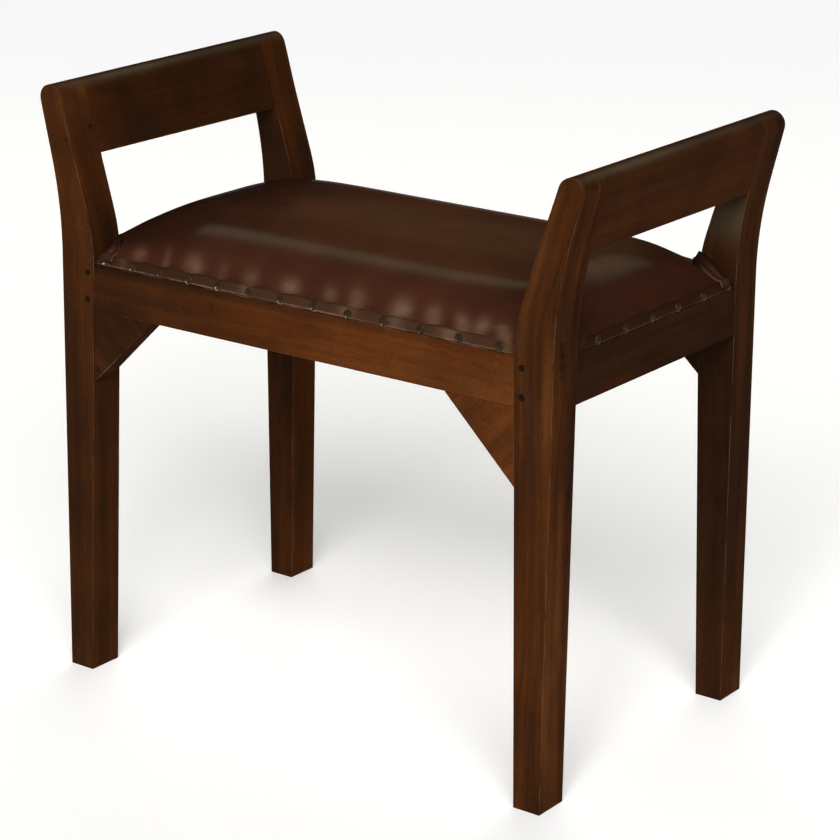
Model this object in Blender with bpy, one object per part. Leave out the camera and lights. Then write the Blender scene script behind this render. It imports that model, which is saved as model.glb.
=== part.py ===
# A small upholstered bench: four bent legs, two arm rails and a leather pad nailed to a seat board.
# Units are metres. X runs along the bench, Y from front to back, Z up. The floor is at Z = 0.

import math

import bmesh
import bpy
from mathutils import Matrix, Vector

# Stance of the whole bench
SEAT_WIDTH = 0.540
SEAT_DEPTH = 0.325
RAIL_TOP = 0.400
ARM_RISE = 0.157

# Legs, each sawn in one piece with its post from stock of one thickness
LEG_THICKNESS = 0.0356
LEG_FOOT_WIDTH = 0.0269
LEG_SEAT_WIDTH = 0.0386
LEG_SPLAY = math.radians(0.79)
LEG_ARRIS = 0.0012
POST_LEAN = math.radians(13.8)
POST_BEND_RISE = 0.005
POST_BEND_RADIUS = 0.370
POST_KNEE_RISE = 0.0216
POST_KNEE_RADIUS = 0.150
POST_TOP_WIDTH = 0.024

# Rails under the seat and the arm rails above it
RAIL_HEIGHT = 0.044
RAIL_THICKNESS = 0.022
RAIL_ARRIS = 0.0008
ARM_RAIL_HEIGHT = 0.069

# Mortise and tenon joints
TENON_THICKNESS = 0.009
TENON_SHOULDER = 0.003
TENON_WALL = 0.003
SIDE_TENON_LENGTH = 0.020
ARM_TENON_THICKNESS = 0.010
ARM_TENON_HEIGHT = 0.032
ARM_TENON_LENGTH = 0.022
JOINT_GAP = 0.0003
CUTTER_RUNOUT = 0.004

# Round pegs that pin the front and rear rails
PEG_DIAMETER = 0.006
PEG_LENGTH = 0.020
PEG_FROM_SHOULDER = 0.0075
PEG_FROM_RAIL_EDGE = 0.0095
PEG_PROUD = 0.0004

# Corner brackets under the front and rear rails
BRACKET_THICKNESS = 0.018
FRONT_BRACKET_RUN = 0.070
FRONT_BRACKET_DROP = 0.069
REAR_BRACKET_RUN = 0.062
REAR_BRACKET_DROP = 0.056

# Seat board, foam and leather cover
BOARD_THICKNESS = 0.0085
COVER_THICKNESS = 0.002
COVER_CLEARANCE = 0.0005
HEM_LIFT = 0.0008
HEM_PROUD = 0.0006
HEM_SETBACK = 0.002
PAD_CROWN = 0.039
PAD_END_ROUNDING = (8.0, 2.0)
PAD_SIDE_ROUNDING = (3.4, 1.6)
FOAM_SETBACK = 0.008
FOAM_CLEARANCE = 0.0015
FOAM_EDGE = 0.0005
PAD_CELLS_LONG = 18
PAD_CELLS_DEEP = 10
PAD_CELLS_BESIDE_POST = 2

# Domed upholstery tacks
TACK_HEAD_DIAMETER = 0.008
TACK_HEAD_HEIGHT = 0.0026
TACK_SHANK_DIAMETER = 0.0018
TACK_SHANK_LENGTH = 0.010
TACK_END_MARGIN = 0.0145
TACK_DRIFT = 0.12
SIDE_TACK_FRONT_MARGIN = 0.028
SIDE_TACK_REAR_MARGIN = 0.0135
FRONT_TACKS = 13
REAR_TACKS = 10
SIDE_TACKS = 6

# How finely round stretches are drawn
BEND_STEPS = 8
KNEE_STEPS = 6
NOSE_STEPS = 10
PEG_SIDES = 12
TACK_SIDES = 8
DOME_STEPS = 3
HOLE_SIDES = 6
SMOOTH_ANGLE = math.radians(32)
ARRIS_ANGLE = math.radians(40)
SLOPE_STEP = 0.0005
MERGE_DISTANCE = 0.00001

LEFT, RIGHT = -1, 1
FRONT, REAR = -1, 1
SIDE_NAMES = {LEFT: "left", RIGHT: "right"}
END_NAMES = {FRONT: "front", REAR: "rear"}
CORNERS = [(side, end) for end in (FRONT, REAR) for side in (LEFT, RIGHT)]

# Sizes that follow from the driving dimensions
HALF_WIDTH = SEAT_WIDTH / 2
HALF_DEPTH = SEAT_DEPTH / 2
ARM_TOP = RAIL_TOP + ARM_RISE
RAIL_BOTTOM = RAIL_TOP - RAIL_HEIGHT
NOSE_RADIUS = POST_TOP_WIDTH / 2
LONG_TENON_LENGTH = LEG_SEAT_WIDTH - (RAIL_THICKNESS + TENON_THICKNESS) / 2 - TENON_WALL
TENON_BOTTOM = RAIL_BOTTOM + TENON_SHOULDER
TENON_TOP = RAIL_TOP - TENON_SHOULDER
BOARD_BOTTOM = RAIL_TOP + JOINT_GAP
BOARD_TOP = BOARD_BOTTOM + BOARD_THICKNESS
HEM_BOTTOM = RAIL_TOP + HEM_LIFT
CREASE = BOARD_TOP + COVER_THICKNESS + JOINT_GAP
HEM_TILT = math.atan2(HEM_SETBACK, CREASE - HEM_BOTTOM)
HEM_X = HALF_WIDTH + HEM_PROUD
HEM_Y = HALF_DEPTH + HEM_PROUD
CREASE_X = HEM_X - HEM_SETBACK
CREASE_Y = HEM_Y - HEM_SETBACK
TACK_HEIGHT = (BOARD_BOTTOM + BOARD_TOP) / 2


# The bent outline of the right-hand legs, worked out in the X-Z plane

def arc(centre, radius, start, stop, steps):
    """Points on a circular arc, from one angle to another."""
    points = []
    for step in range(steps + 1):
        angle = start + (stop - start) * step / steps
        points.append(centre + radius * Vector((math.cos(angle), math.sin(angle))))
    return points


def line_meet(point, direction, other, other_direction):
    """Where two lines in the plane cross."""
    span = direction.cross(other_direction)
    along = (other - point).cross(other_direction) / span
    return point + direction * along


def leg_inner(height):
    """X of the tapered inner edge of a right-hand leg below its knee."""
    return HALF_WIDTH - LEG_FOOT_WIDTH - (LEG_SEAT_WIDTH - LEG_FOOT_WIDTH) * height / RAIL_TOP


def leg_outer_y(height):
    """Distance of a leg's outer face from the middle of the bench, front to back."""
    return HALF_DEPTH + (RAIL_TOP - height) * math.tan(LEG_SPLAY)


def leg_inner_y(height):
    """Distance of a leg's inner face from the middle of the bench, front to back."""
    return leg_outer_y(height) - LEG_THICKNESS


BEND_START = Vector((HALF_WIDTH, RAIL_TOP + POST_BEND_RISE))
BEND_ROOM = (ARM_RISE - POST_BEND_RISE - NOSE_RADIUS) / math.sin(POST_LEAN)
BEND_RADIUS = min(POST_BEND_RADIUS, BEND_ROOM)
BEND_CENTRE = BEND_START + Vector((BEND_RADIUS, 0))
OUTER_BEND = arc(BEND_CENTRE, BEND_RADIUS, math.pi, math.pi - POST_LEAN, BEND_STEPS)
OUTER_LEAN = Vector((math.sin(POST_LEAN), math.cos(POST_LEAN)))
OUTER_NORMAL = Vector((math.cos(POST_LEAN), -math.sin(POST_LEAN)))

# The round top touches the outer face, and the inner face runs from it down to the knee.
NOSE_CENTRE = line_meet(
    OUTER_BEND[-1] - OUTER_NORMAL * NOSE_RADIUS,
    OUTER_LEAN,
    Vector((0, ARM_TOP - NOSE_RADIUS)),
    Vector((1, 0)),
)
KNEE = Vector((leg_inner(RAIL_TOP + POST_KNEE_RISE), RAIL_TOP + POST_KNEE_RISE))
KNEE_TO_NOSE = NOSE_CENTRE - KNEE
INNER_LEAN_ANGLE = (
    math.atan2(KNEE_TO_NOSE.x, KNEE_TO_NOSE.y) - math.asin(NOSE_RADIUS / KNEE_TO_NOSE.length)
)
INNER_LEAN = Vector((math.sin(INNER_LEAN_ANGLE), math.cos(INNER_LEAN_ANGLE)))
NOSE = arc(NOSE_CENTRE, NOSE_RADIUS, -POST_LEAN, math.pi - INNER_LEAN_ANGLE, NOSE_STEPS)

# The arm rail's section hangs from the same round top, with its lower edge square to the mean lean.
ARM_LEAN_ANGLE = (POST_LEAN + INNER_LEAN_ANGLE) / 2
ARM_UP = Vector((math.sin(ARM_LEAN_ANGLE), math.cos(ARM_LEAN_ANGLE)))
ARM_ACROSS = Vector((math.cos(ARM_LEAN_ANGLE), -math.sin(ARM_LEAN_ANGLE)))
ARM_FOOT = NOSE_CENTRE - ARM_UP * (ARM_RAIL_HEIGHT - NOSE_RADIUS)
ARM_TENON_CENTRE = (ARM_FOOT + NOSE_CENTRE) / 2


def knee_curve():
    """The rounded knee on the inner edge, from the leaning post down to the tapered leg."""
    taper = Vector((leg_inner(0), 0)) - KNEE
    taper.normalize()
    turn = math.pi - INNER_LEAN.angle(taper)
    room = min(KNEE_TO_NOSE.length / 2, POST_KNEE_RISE + RAIL_HEIGHT / 2)
    radius = min(POST_KNEE_RADIUS, room / math.tan(turn / 2))
    tangent = radius * math.tan(turn / 2)
    upper = KNEE + INNER_LEAN * tangent
    inward = Vector((INNER_LEAN.y, -INNER_LEAN.x))
    centre = upper + inward * radius
    start = math.pi - INNER_LEAN_ANGLE
    return arc(centre, radius, start, start + turn, KNEE_STEPS)


def leg_outline():
    """The whole outline, up the outer edge, over the top and down the inner edge."""
    outline = [Vector((HALF_WIDTH, 0))]
    outline += OUTER_BEND
    outline += NOSE
    outline += knee_curve()
    outline.append(Vector((leg_inner(0), 0)))
    return outline


def arm_outline():
    """The arm rail's section: slanted lower edge, straight faces and round top."""
    outer_foot = line_meet(ARM_FOOT, ARM_ACROSS, OUTER_BEND[-1], OUTER_LEAN)
    inner_foot = line_meet(ARM_FOOT, ARM_ACROSS, KNEE, INNER_LEAN)
    return [inner_foot, outer_foot] + NOSE


# Modelling helpers

def clear_scene():
    for item in list(bpy.data.objects):
        bpy.data.objects.remove(item, do_unlink=True)


def make_material(name, colour, roughness, metallic):
    material = bpy.data.materials.new(name)
    material.use_nodes = True
    shader = material.node_tree.nodes["Principled BSDF"]
    shader.inputs["Base Color"].default_value = (*colour, 1)
    shader.inputs["Roughness"].default_value = roughness
    shader.inputs["Metallic"].default_value = metallic
    material.diffuse_color = (*colour, 1)
    return material


def finish_mesh(name, bm):
    """Turn the working mesh into a named one, faces outwards and round stretches smooth."""
    bmesh.ops.recalc_face_normals(bm, faces=bm.faces)
    mesh = bpy.data.meshes.new(name)
    bm.to_mesh(mesh)
    bm.free()
    mesh.shade_smooth()
    mesh.set_sharp_from_angle(angle=SMOOTH_ANGLE)
    return mesh


def place(name, mesh, material, where=(0, 0, 0), turn=(0, 0, 0)):
    """Add one piece of the bench under the bench's empty."""
    piece = bpy.data.objects.new(name, mesh)
    piece.parent = bench
    piece.location = where
    piece.rotation_euler = turn
    if not mesh.materials:
        mesh.materials.append(material)
    bpy.context.scene.collection.objects.link(piece)
    return piece


def place_cutter(name, bm):
    """Add a tool that only cuts, and is no piece of the bench."""
    cutter = place(name, finish_mesh(name, bm), cutter_material)
    cutter.hide_render = True
    cutter.display_type = "WIRE"
    return cutter


def cut(piece, cutter):
    modifier = piece.modifiers.new(cutter.name, "BOOLEAN")
    modifier.operation = "DIFFERENCE"
    modifier.solver = "EXACT"
    modifier.object = cutter


def sweep(points, travel):
    """A prism: a flat closed outline swept in one straight line."""
    bm = bmesh.new()
    face = bm.faces.new([bm.verts.new(point) for point in points])
    swept = bmesh.ops.extrude_face_region(bm, geom=[face])
    moved = [item for item in swept["geom"] if isinstance(item, bmesh.types.BMVert)]
    bmesh.ops.translate(bm, verts=moved, vec=travel)
    bmesh.ops.recalc_face_normals(bm, faces=bm.faces)
    return bm


def soften(bm, width, along=None):
    """Take the sharpness off the arrises, or only off those that run along one direction."""
    edges = [edge for edge in bm.edges if edge.calc_face_angle() > ARRIS_ANGLE]
    if along is not None:
        edges = [edge for edge in edges if runs_along(edge, along)]
    bmesh.ops.bevel(bm, geom=edges, offset=width, segments=1, profile=0.5, affect="EDGES")
    bmesh.ops.recalc_face_normals(bm, faces=bm.faces)


def runs_along(edge, along):
    direction = edge.verts[1].co - edge.verts[0].co
    return abs(direction.normalized().dot(along)) > math.cos(ARRIS_ANGLE)


def draw_tenon(bm, cheeks, direction, length):
    """Slice the blank along the tenon's cheeks, then draw the end face between them out."""
    for point, normal in cheeks:
        everything = bm.verts[:] + bm.edges[:] + bm.faces[:]
        bmesh.ops.bisect_plane(bm, geom=everything, plane_co=point, plane_no=normal)
    bm.normal_update()
    ends = []
    for face in bm.faces:
        middle = face.calc_center_median()
        within = all((middle - point).dot(normal) < 0 for point, normal in cheeks)
        if within and face.normal.dot(direction) > math.cos(ARRIS_ANGLE):
            ends.append(face)
    swept = bmesh.ops.extrude_face_region(bm, geom=ends)
    bmesh.ops.delete(bm, geom=ends, context="FACES_ONLY")
    moved = [item for item in swept["geom"] if isinstance(item, bmesh.types.BMVert)]
    bmesh.ops.translate(bm, verts=moved, vec=direction * length)


def add_box(bm, low, high):
    """Add an upright box between two corners to the working mesh."""
    low = Vector(low)
    high = Vector(high)
    size = Matrix.Diagonal((*[abs(value) for value in high - low], 1))
    bmesh.ops.create_cube(bm, size=1, matrix=Matrix.Translation((low + high) / 2) @ size)


def box_cheeks(low, high):
    """The planes that bound a box, leaving out the axis on which it has no size."""
    cheeks = []
    for axis in range(3):
        if high[axis] == low[axis]:
            continue
        normal = Vector([1 if other == axis else 0 for other in range(3)])
        cheeks.append((Vector(low), -normal))
        cheeks.append((Vector(high), normal))
    return cheeks


# Legs and their mortises

def make_leg(side, end):
    outline = [Vector((side * point.x, 0, point.y)) for point in leg_outline()]
    bm = sweep(outline, Vector((0, -end * LEG_THICKNESS, 0)))
    for vert in bm.verts:
        vert.co.y += end * leg_outer_y(vert.co.z)
    bmesh.ops.recalc_face_normals(bm, faces=bm.faces)
    soften(bm, LEG_ARRIS)
    name = f"leg_{END_NAMES[end]}_{SIDE_NAMES[side]}"
    leg = place(name, finish_mesh(name, bm), dark_wood)
    cut(leg, mortises)
    cut(leg, peg_holes)


def long_tenon_y():
    """Distance from the bench's middle to the middle of the front and rear rails."""
    return HALF_DEPTH - RAIL_THICKNESS / 2


def side_tenon_x():
    """Distance from the bench's middle to the middle of the side rails."""
    return HALF_WIDTH - RAIL_THICKNESS / 2


def make_mortises():
    """The three pockets in each leg: for a long rail, a side rail and an arm rail."""
    bm = bmesh.new()
    half = TENON_THICKNESS / 2 + JOINT_GAP
    bottom = TENON_BOTTOM - JOINT_GAP
    top = TENON_TOP + JOINT_GAP
    for side, end in CORNERS:
        near = leg_inner(RAIL_TOP) - CUTTER_RUNOUT
        far = leg_inner(TENON_BOTTOM) + LONG_TENON_LENGTH + JOINT_GAP
        middle = end * long_tenon_y()
        add_box(bm, (side * near, middle - half, bottom), (side * far, middle + half, top))
        near = leg_inner_y(RAIL_TOP) - CUTTER_RUNOUT
        far = leg_inner_y(TENON_BOTTOM) + SIDE_TENON_LENGTH + JOINT_GAP
        middle = side * side_tenon_x()
        add_box(bm, (middle - half, end * near, bottom), (middle + half, end * far, top))
        add_arm_mortise(bm, side, end)
    return place_cutter("mortises", bm)


def add_arm_mortise(bm, side, end):
    height = ARM_TENON_CENTRE.y
    near = leg_inner_y(height) - CUTTER_RUNOUT
    far = leg_inner_y(height - ARM_TENON_HEIGHT / 2) + ARM_TENON_LENGTH + JOINT_GAP
    size = (ARM_TENON_THICKNESS + 2 * JOINT_GAP, far - near, ARM_TENON_HEIGHT + 2 * JOINT_GAP)
    middle = Vector((side * ARM_TENON_CENTRE.x, end * (near + far) / 2, height))
    turn = Matrix.Rotation(side * ARM_LEAN_ANGLE, 4, "Y")
    matrix = Matrix.Translation(middle) @ turn @ Matrix.Diagonal((*size, 1))
    bmesh.ops.create_cube(bm, size=1, matrix=matrix)


# Seat rails, arm rails and brackets

def make_long_rail(end):
    """Front or rear rail, with shoulders that follow the tapered legs."""
    outer = end * HALF_DEPTH
    outline = []
    for side, height in ((LEFT, RAIL_BOTTOM), (RIGHT, RAIL_BOTTOM), (RIGHT, RAIL_TOP), (LEFT, RAIL_TOP)):
        outline.append(Vector((side * (leg_inner(height) - JOINT_GAP), outer, height)))
    bm = sweep(outline, Vector((0, -end * RAIL_THICKNESS, 0)))
    soften(bm, RAIL_ARRIS, Vector((1, 0, 0)))
    middle = end * long_tenon_y()
    low = (0, middle - TENON_THICKNESS / 2, TENON_BOTTOM)
    high = (0, middle + TENON_THICKNESS / 2, TENON_TOP)
    for side in (LEFT, RIGHT):
        draw_tenon(bm, box_cheeks(low, high), Vector((side, 0, 0)), LONG_TENON_LENGTH)
    name = f"seat_rail_{END_NAMES[end]}"
    rail = place(name, finish_mesh(name, bm), rail_wood)
    cut(rail, peg_holes)


def make_side_rail(side):
    """Left or right rail, between a front leg and a rear leg."""
    outer = side * HALF_WIDTH
    outline = []
    for end, height in ((FRONT, RAIL_BOTTOM), (REAR, RAIL_BOTTOM), (REAR, RAIL_TOP), (FRONT, RAIL_TOP)):
        outline.append(Vector((outer, end * (leg_inner_y(height) - JOINT_GAP), height)))
    bm = sweep(outline, Vector((-side * RAIL_THICKNESS, 0, 0)))
    soften(bm, RAIL_ARRIS, Vector((0, 1, 0)))
    middle = side * side_tenon_x()
    low = (middle - TENON_THICKNESS / 2, 0, TENON_BOTTOM)
    high = (middle + TENON_THICKNESS / 2, 0, TENON_TOP)
    for end in (FRONT, REAR):
        draw_tenon(bm, box_cheeks(low, high), Vector((0, end, 0)), SIDE_TENON_LENGTH)
    name = f"seat_rail_{SIDE_NAMES[side]}"
    place(name, finish_mesh(name, bm), rail_wood)


def make_arm_rail(side):
    """Leaning arm rail, flush with its two posts and tenoned into them."""
    outline = [Vector((side * point.x, 0, point.y)) for point in arm_outline()]
    bm = sweep(outline, Vector((0, 1, 0)))
    for vert in bm.verts:
        end = REAR if vert.co.y > 0 else FRONT
        vert.co.y = end * (leg_inner_y(vert.co.z) - JOINT_GAP)
    bmesh.ops.recalc_face_normals(bm, faces=bm.faces)
    soften(bm, RAIL_ARRIS, Vector((0, 1, 0)))
    centre = Vector((side * ARM_TENON_CENTRE.x, 0, ARM_TENON_CENTRE.y))
    cheeks = []
    for direction, size in ((ARM_UP, ARM_TENON_HEIGHT), (ARM_ACROSS, ARM_TENON_THICKNESS)):
        normal = Vector((side * direction.x, 0, direction.y))
        cheeks.append((centre + normal * size / 2, normal))
        cheeks.append((centre - normal * size / 2, -normal))
    for end in (FRONT, REAR):
        draw_tenon(bm, cheeks, Vector((0, end, 0)), ARM_TENON_LENGTH)
    name = f"arm_rail_{SIDE_NAMES[side]}"
    place(name, finish_mesh(name, bm), dark_wood)


def make_bracket(side, end):
    """Three-cornered bracket in the angle between a leg and a long rail."""
    run = FRONT_BRACKET_RUN if end == FRONT else REAR_BRACKET_RUN
    drop = FRONT_BRACKET_DROP if end == FRONT else REAR_BRACKET_DROP
    top = RAIL_BOTTOM - JOINT_GAP
    corner = leg_inner(top) - JOINT_GAP
    tip = leg_inner(top - drop) - JOINT_GAP
    outline = []
    for x, height in ((corner, top), (corner - run, top), (tip, top - drop)):
        outline.append(Vector((side * x, end * HALF_DEPTH, height)))
    bm = sweep(outline, Vector((0, -end * BRACKET_THICKNESS, 0)))
    name = f"bracket_{END_NAMES[end]}_{SIDE_NAMES[side]}"
    place(name, finish_mesh(name, bm), rail_wood)


# Pegs

def peg_heights():
    return {"lower": RAIL_BOTTOM + PEG_FROM_RAIL_EDGE, "upper": RAIL_TOP - PEG_FROM_RAIL_EDGE}


def peg_mouth(side, end, height):
    """Where a peg's axis comes out of the leg's outer face."""
    x = leg_inner(height) + PEG_FROM_SHOULDER
    return Vector((side * x, end * leg_outer_y(height), height))


def add_rod(bm, radius, length, sides, matrix):
    """Add a round rod that starts at the matrix's origin and runs along its +Z."""
    lift = Matrix.Translation((0, 0, length / 2))
    return bmesh.ops.create_cone(
        bm, cap_ends=True, segments=sides, radius1=radius, radius2=radius, depth=length, matrix=matrix @ lift
    )


def inward_turn(end):
    """Turn that lays +Z along Y, from the outer face of a leg towards the middle."""
    return Matrix.Rotation(end * math.pi / 2, 4, "X")


def make_peg_holes():
    bm = bmesh.new()
    depth = CUTTER_RUNOUT + PEG_LENGTH + JOINT_GAP
    for side, end in CORNERS:
        for height in peg_heights().values():
            mouth = peg_mouth(side, end, height)
            mouth.y += end * CUTTER_RUNOUT
            matrix = Matrix.Translation(mouth) @ inward_turn(end)
            add_rod(bm, PEG_DIAMETER / 2 + JOINT_GAP, depth, PEG_SIDES, matrix)
    return place_cutter("peg_holes", bm)


def make_pegs():
    """Pegs driven in from outside, their eased heads a little proud."""
    bm = bmesh.new()
    add_rod(bm, PEG_DIAMETER / 2, PEG_LENGTH + PEG_PROUD, PEG_SIDES, Matrix.Identity(4))
    rim = [edge for edge in bm.edges if all(vert.co.z < PEG_PROUD for vert in edge.verts)]
    bmesh.ops.bevel(bm, geom=rim, offset=PEG_PROUD, segments=1, profile=0.5, affect="EDGES")
    mesh = finish_mesh("peg", bm)
    for side, end in CORNERS:
        for level, height in peg_heights().items():
            mouth = peg_mouth(side, end, height)
            mouth.y += end * PEG_PROUD
            name = f"peg_{END_NAMES[end]}_{SIDE_NAMES[side]}_{level}"
            place(name, mesh, peg_wood, mouth, inward_turn(end).to_euler())


# Seat board, foam and cover share one plan: a rectangle with a notch round each post

def notch_x():
    """X of the upholstery's edge beside a post."""
    return leg_inner(RAIL_TOP) - COVER_CLEARANCE


def notch_y():
    """Y of the upholstery's edge beside a post, clear of it up to the crown."""
    return leg_inner_y(CREASE + PAD_CROWN) - COVER_CLEARANCE


def rounded_fall(share, rounding):
    """Falls from 1 in the middle to 0 at the edge, flat in the middle and soft at the edge."""
    flatness, softness = rounding
    return max(0.0, 1 - abs(share) ** flatness) ** softness


def pad_height(x, y):
    """Height of the cover's outside above the floor."""
    along = rounded_fall(x / CREASE_X, PAD_END_ROUNDING)
    across = rounded_fall(y / CREASE_Y, PAD_SIDE_ROUNDING)
    return CREASE + PAD_CROWN * along * across


def pad_height_below(x, y, depth):
    """Height of a layer that lies a given depth below the cover's outside, square to it."""
    slope_x = (pad_height(x + SLOPE_STEP, y) - pad_height(x - SLOPE_STEP, y)) / (2 * SLOPE_STEP)
    slope_y = (pad_height(x, y + SLOPE_STEP) - pad_height(x, y - SLOPE_STEP)) / (2 * SLOPE_STEP)
    return pad_height(x, y) - depth * math.sqrt(1 + slope_x ** 2 + slope_y ** 2)


def grid_lines(notch, edge, cells):
    """Lines across the plan, closing up towards the posts and even beside them."""
    lines = [notch * math.sin(math.pi / 2 * (2 * step / cells - 1)) for step in range(cells + 1)]
    for step in range(1, PAD_CELLS_BESIDE_POST + 1):
        line = notch + (edge - notch) * step / PAD_CELLS_BESIDE_POST
        lines = [-line] + lines + [line]
    return lines


def add_pad_surface(bm, inset, depth, lowest):
    """Add one crowned layer to the mesh: the plan drawn in by the inset, lowered by the depth."""
    post_x = notch_x() - inset
    post_y = notch_y() - inset
    lines_x = grid_lines(post_x, CREASE_X - inset, PAD_CELLS_LONG)
    lines_y = grid_lines(post_y, CREASE_Y - inset, PAD_CELLS_DEEP)
    points = {}
    for i in range(len(lines_x) - 1):
        for j in range(len(lines_y) - 1):
            beside_x = abs(lines_x[i] + lines_x[i + 1]) / 2 > post_x
            beside_y = abs(lines_y[j] + lines_y[j + 1]) / 2 > post_y
            if beside_x and beside_y:
                continue
            corners = []
            for key in ((i, j), (i + 1, j), (i + 1, j + 1), (i, j + 1)):
                if key not in points:
                    x = lines_x[key[0]]
                    y = lines_y[key[1]]
                    height = max(pad_height_below(x, y, depth), lowest)
                    points[key] = bm.verts.new((x, y, height))
                corners.append(points[key])
            bm.faces.new(corners)


def drop_skirt(bm, bottom, inset, flare):
    """Draw the layer's edge down to one level, flaring out where it isn't beside a post."""
    rim = [edge for edge in bm.edges if edge.is_boundary]
    drawn = bmesh.ops.extrude_edge_only(bm, edges=rim)
    edge_x = CREASE_X - inset - JOINT_GAP
    edge_y = CREASE_Y - inset - JOINT_GAP
    for vert in [item for item in drawn["geom"] if isinstance(item, bmesh.types.BMVert)]:
        if abs(vert.co.x) > edge_x:
            vert.co.x += math.copysign(flare, vert.co.x)
        if abs(vert.co.y) > edge_y:
            vert.co.y += math.copysign(flare, vert.co.y)
        vert.co.z = bottom


def make_cover():
    """Leather cover: a crowned shell with a hem that laps the board's edge, open underneath."""
    bm = bmesh.new()
    add_pad_surface(bm, 0, 0, CREASE)
    drop_skirt(bm, HEM_BOTTOM, 0, HEM_SETBACK)
    cover = place("leather_cover", finish_mesh("leather_cover", bm), leather)
    wall = cover.modifiers.new("leather", "SOLIDIFY")
    wall.thickness = COVER_THICKNESS
    wall.offset = -1
    wall.use_even_offset = True
    cut(cover, tack_holes)


def make_foam():
    """Foam under the cover, resting on the board and pared thin towards its edge."""
    bm = bmesh.new()
    depth = COVER_THICKNESS + FOAM_CLEARANCE
    inset = depth + FOAM_SETBACK
    bottom = BOARD_TOP + JOINT_GAP
    add_pad_surface(bm, inset, depth, bottom + FOAM_EDGE)
    drop_skirt(bm, bottom, inset, 0)
    bmesh.ops.holes_fill(bm, edges=bm.edges)
    place("foam_pad", finish_mesh("foam_pad", bm), foam)


def notched_outline(edge_x, edge_y, post_x, post_y, height):
    """A rectangle with a square notch at each corner, anticlockwise from the right front notch."""
    outline = []
    for sign_x, sign_y in ((RIGHT, FRONT), (RIGHT, REAR), (LEFT, REAR), (LEFT, FRONT)):
        notch = [(post_x, edge_y), (post_x, post_y), (edge_x, post_y)]
        if sign_x * sign_y > 0:
            notch.reverse()
        outline += [Vector((sign_x * x, sign_y * y, height)) for x, y in notch]
    return outline


def make_board():
    """Seat board on the rails, notched round the posts, its edge sloped like the hem."""
    inset = COVER_THICKNESS + JOINT_GAP
    outline = notched_outline(
        HEM_X - inset, HEM_Y - inset, notch_x() - inset, notch_y() - inset, BOARD_BOTTOM
    )
    bm = sweep(outline, Vector((0, 0, BOARD_THICKNESS)))
    for vert in bm.verts:
        if vert.co.z > TACK_HEIGHT:
            drawn_in = HEM_SETBACK if abs(vert.co.x) > notch_x() else 0
            vert.co.x -= math.copysign(drawn_in, vert.co.x)
            drawn_in = HEM_SETBACK if abs(vert.co.y) > notch_y() else 0
            vert.co.y -= math.copysign(drawn_in, vert.co.y)
    board = place("seat_board", finish_mesh("seat_board", bm), plywood)
    cut(board, tack_holes)


# Tacks

def tack_row(start, stop, count, drift):
    """Places along a row, their pitch widening steadily from one end to the other."""
    places = []
    for step in range(count):
        share = step / (count - 1)
        share -= drift * share * (1 - share)
        places.append(start + (stop - start) * share)
    return places


def tack_places():
    """Name, place on the hem and heading of every tack. A heading of zero faces the front."""
    share = (TACK_HEIGHT - HEM_BOTTOM) / (CREASE - HEM_BOTTOM)
    face_x = HEM_X - HEM_SETBACK * share
    face_y = HEM_Y - HEM_SETBACK * share
    reach = notch_x() - TACK_END_MARGIN
    places = []
    for index, x in enumerate(tack_row(-reach, reach, FRONT_TACKS, TACK_DRIFT)):
        places.append((f"tack_front_{index + 1:02d}", Vector((x, -face_y, TACK_HEIGHT)), 0))
    for index, x in enumerate(tack_row(-reach, reach, REAR_TACKS, 0)):
        places.append((f"tack_rear_{index + 1:02d}", Vector((x, face_y, TACK_HEIGHT)), math.pi))
    start = SIDE_TACK_FRONT_MARGIN - notch_y()
    stop = notch_y() - SIDE_TACK_REAR_MARGIN
    for side in (LEFT, RIGHT):
        for index, y in enumerate(tack_row(start, stop, SIDE_TACKS, 0)):
            name = f"tack_{SIDE_NAMES[side]}_{index + 1:02d}"
            places.append((name, Vector((side * face_x, y, TACK_HEIGHT)), side * math.pi / 2))
    return places


def tack_turn(heading):
    """Turn that points +Z square out of the sloping hem."""
    return Matrix.Rotation(heading, 4, "Z") @ Matrix.Rotation(math.pi / 2 - HEM_TILT, 4, "X")


def make_tack_holes():
    bm = bmesh.new()
    reach = TACK_SHANK_LENGTH + JOINT_GAP
    for name, point, heading in tack_places():
        inner_end = Matrix.Translation(point) @ tack_turn(heading) @ Matrix.Translation((0, 0, -reach))
        radius = TACK_SHANK_DIAMETER / 2 + JOINT_GAP
        add_rod(bm, radius, reach + CUTTER_RUNOUT, HOLE_SIDES, inner_end)
    return place_cutter("tack_holes", bm)


def tack_profile():
    """Half section of a tack: a shank along -Z and a domed head that sits just off the hem."""
    shank = TACK_SHANK_DIAMETER / 2
    head = TACK_HEAD_DIAMETER / 2
    profile = [(0, -TACK_SHANK_LENGTH), (shank, -TACK_SHANK_LENGTH), (shank, JOINT_GAP)]
    for step in range(DOME_STEPS + 1):
        angle = math.pi / 2 * step / DOME_STEPS
        profile.append((head * math.cos(angle), JOINT_GAP + TACK_HEAD_HEIGHT * math.sin(angle)))
    return profile


def make_tacks():
    bm = bmesh.new()
    verts = [bm.verts.new((radius, 0, height)) for radius, height in tack_profile()]
    edges = [bm.edges.new(pair) for pair in zip(verts, verts[1:])]
    bmesh.ops.spin(
        bm, geom=verts + edges, axis=(0, 0, 1), cent=(0, 0, 0), angle=2 * math.pi, steps=TACK_SIDES
    )
    bmesh.ops.remove_doubles(bm, verts=bm.verts, dist=MERGE_DISTANCE)
    mesh = finish_mesh("tack", bm)
    for name, point, heading in tack_places():
        place(name, mesh, brass, point, tack_turn(heading).to_euler())


clear_scene()
bench = bpy.data.objects.new("bench", None)
bpy.context.scene.collection.objects.link(bench)

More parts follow.
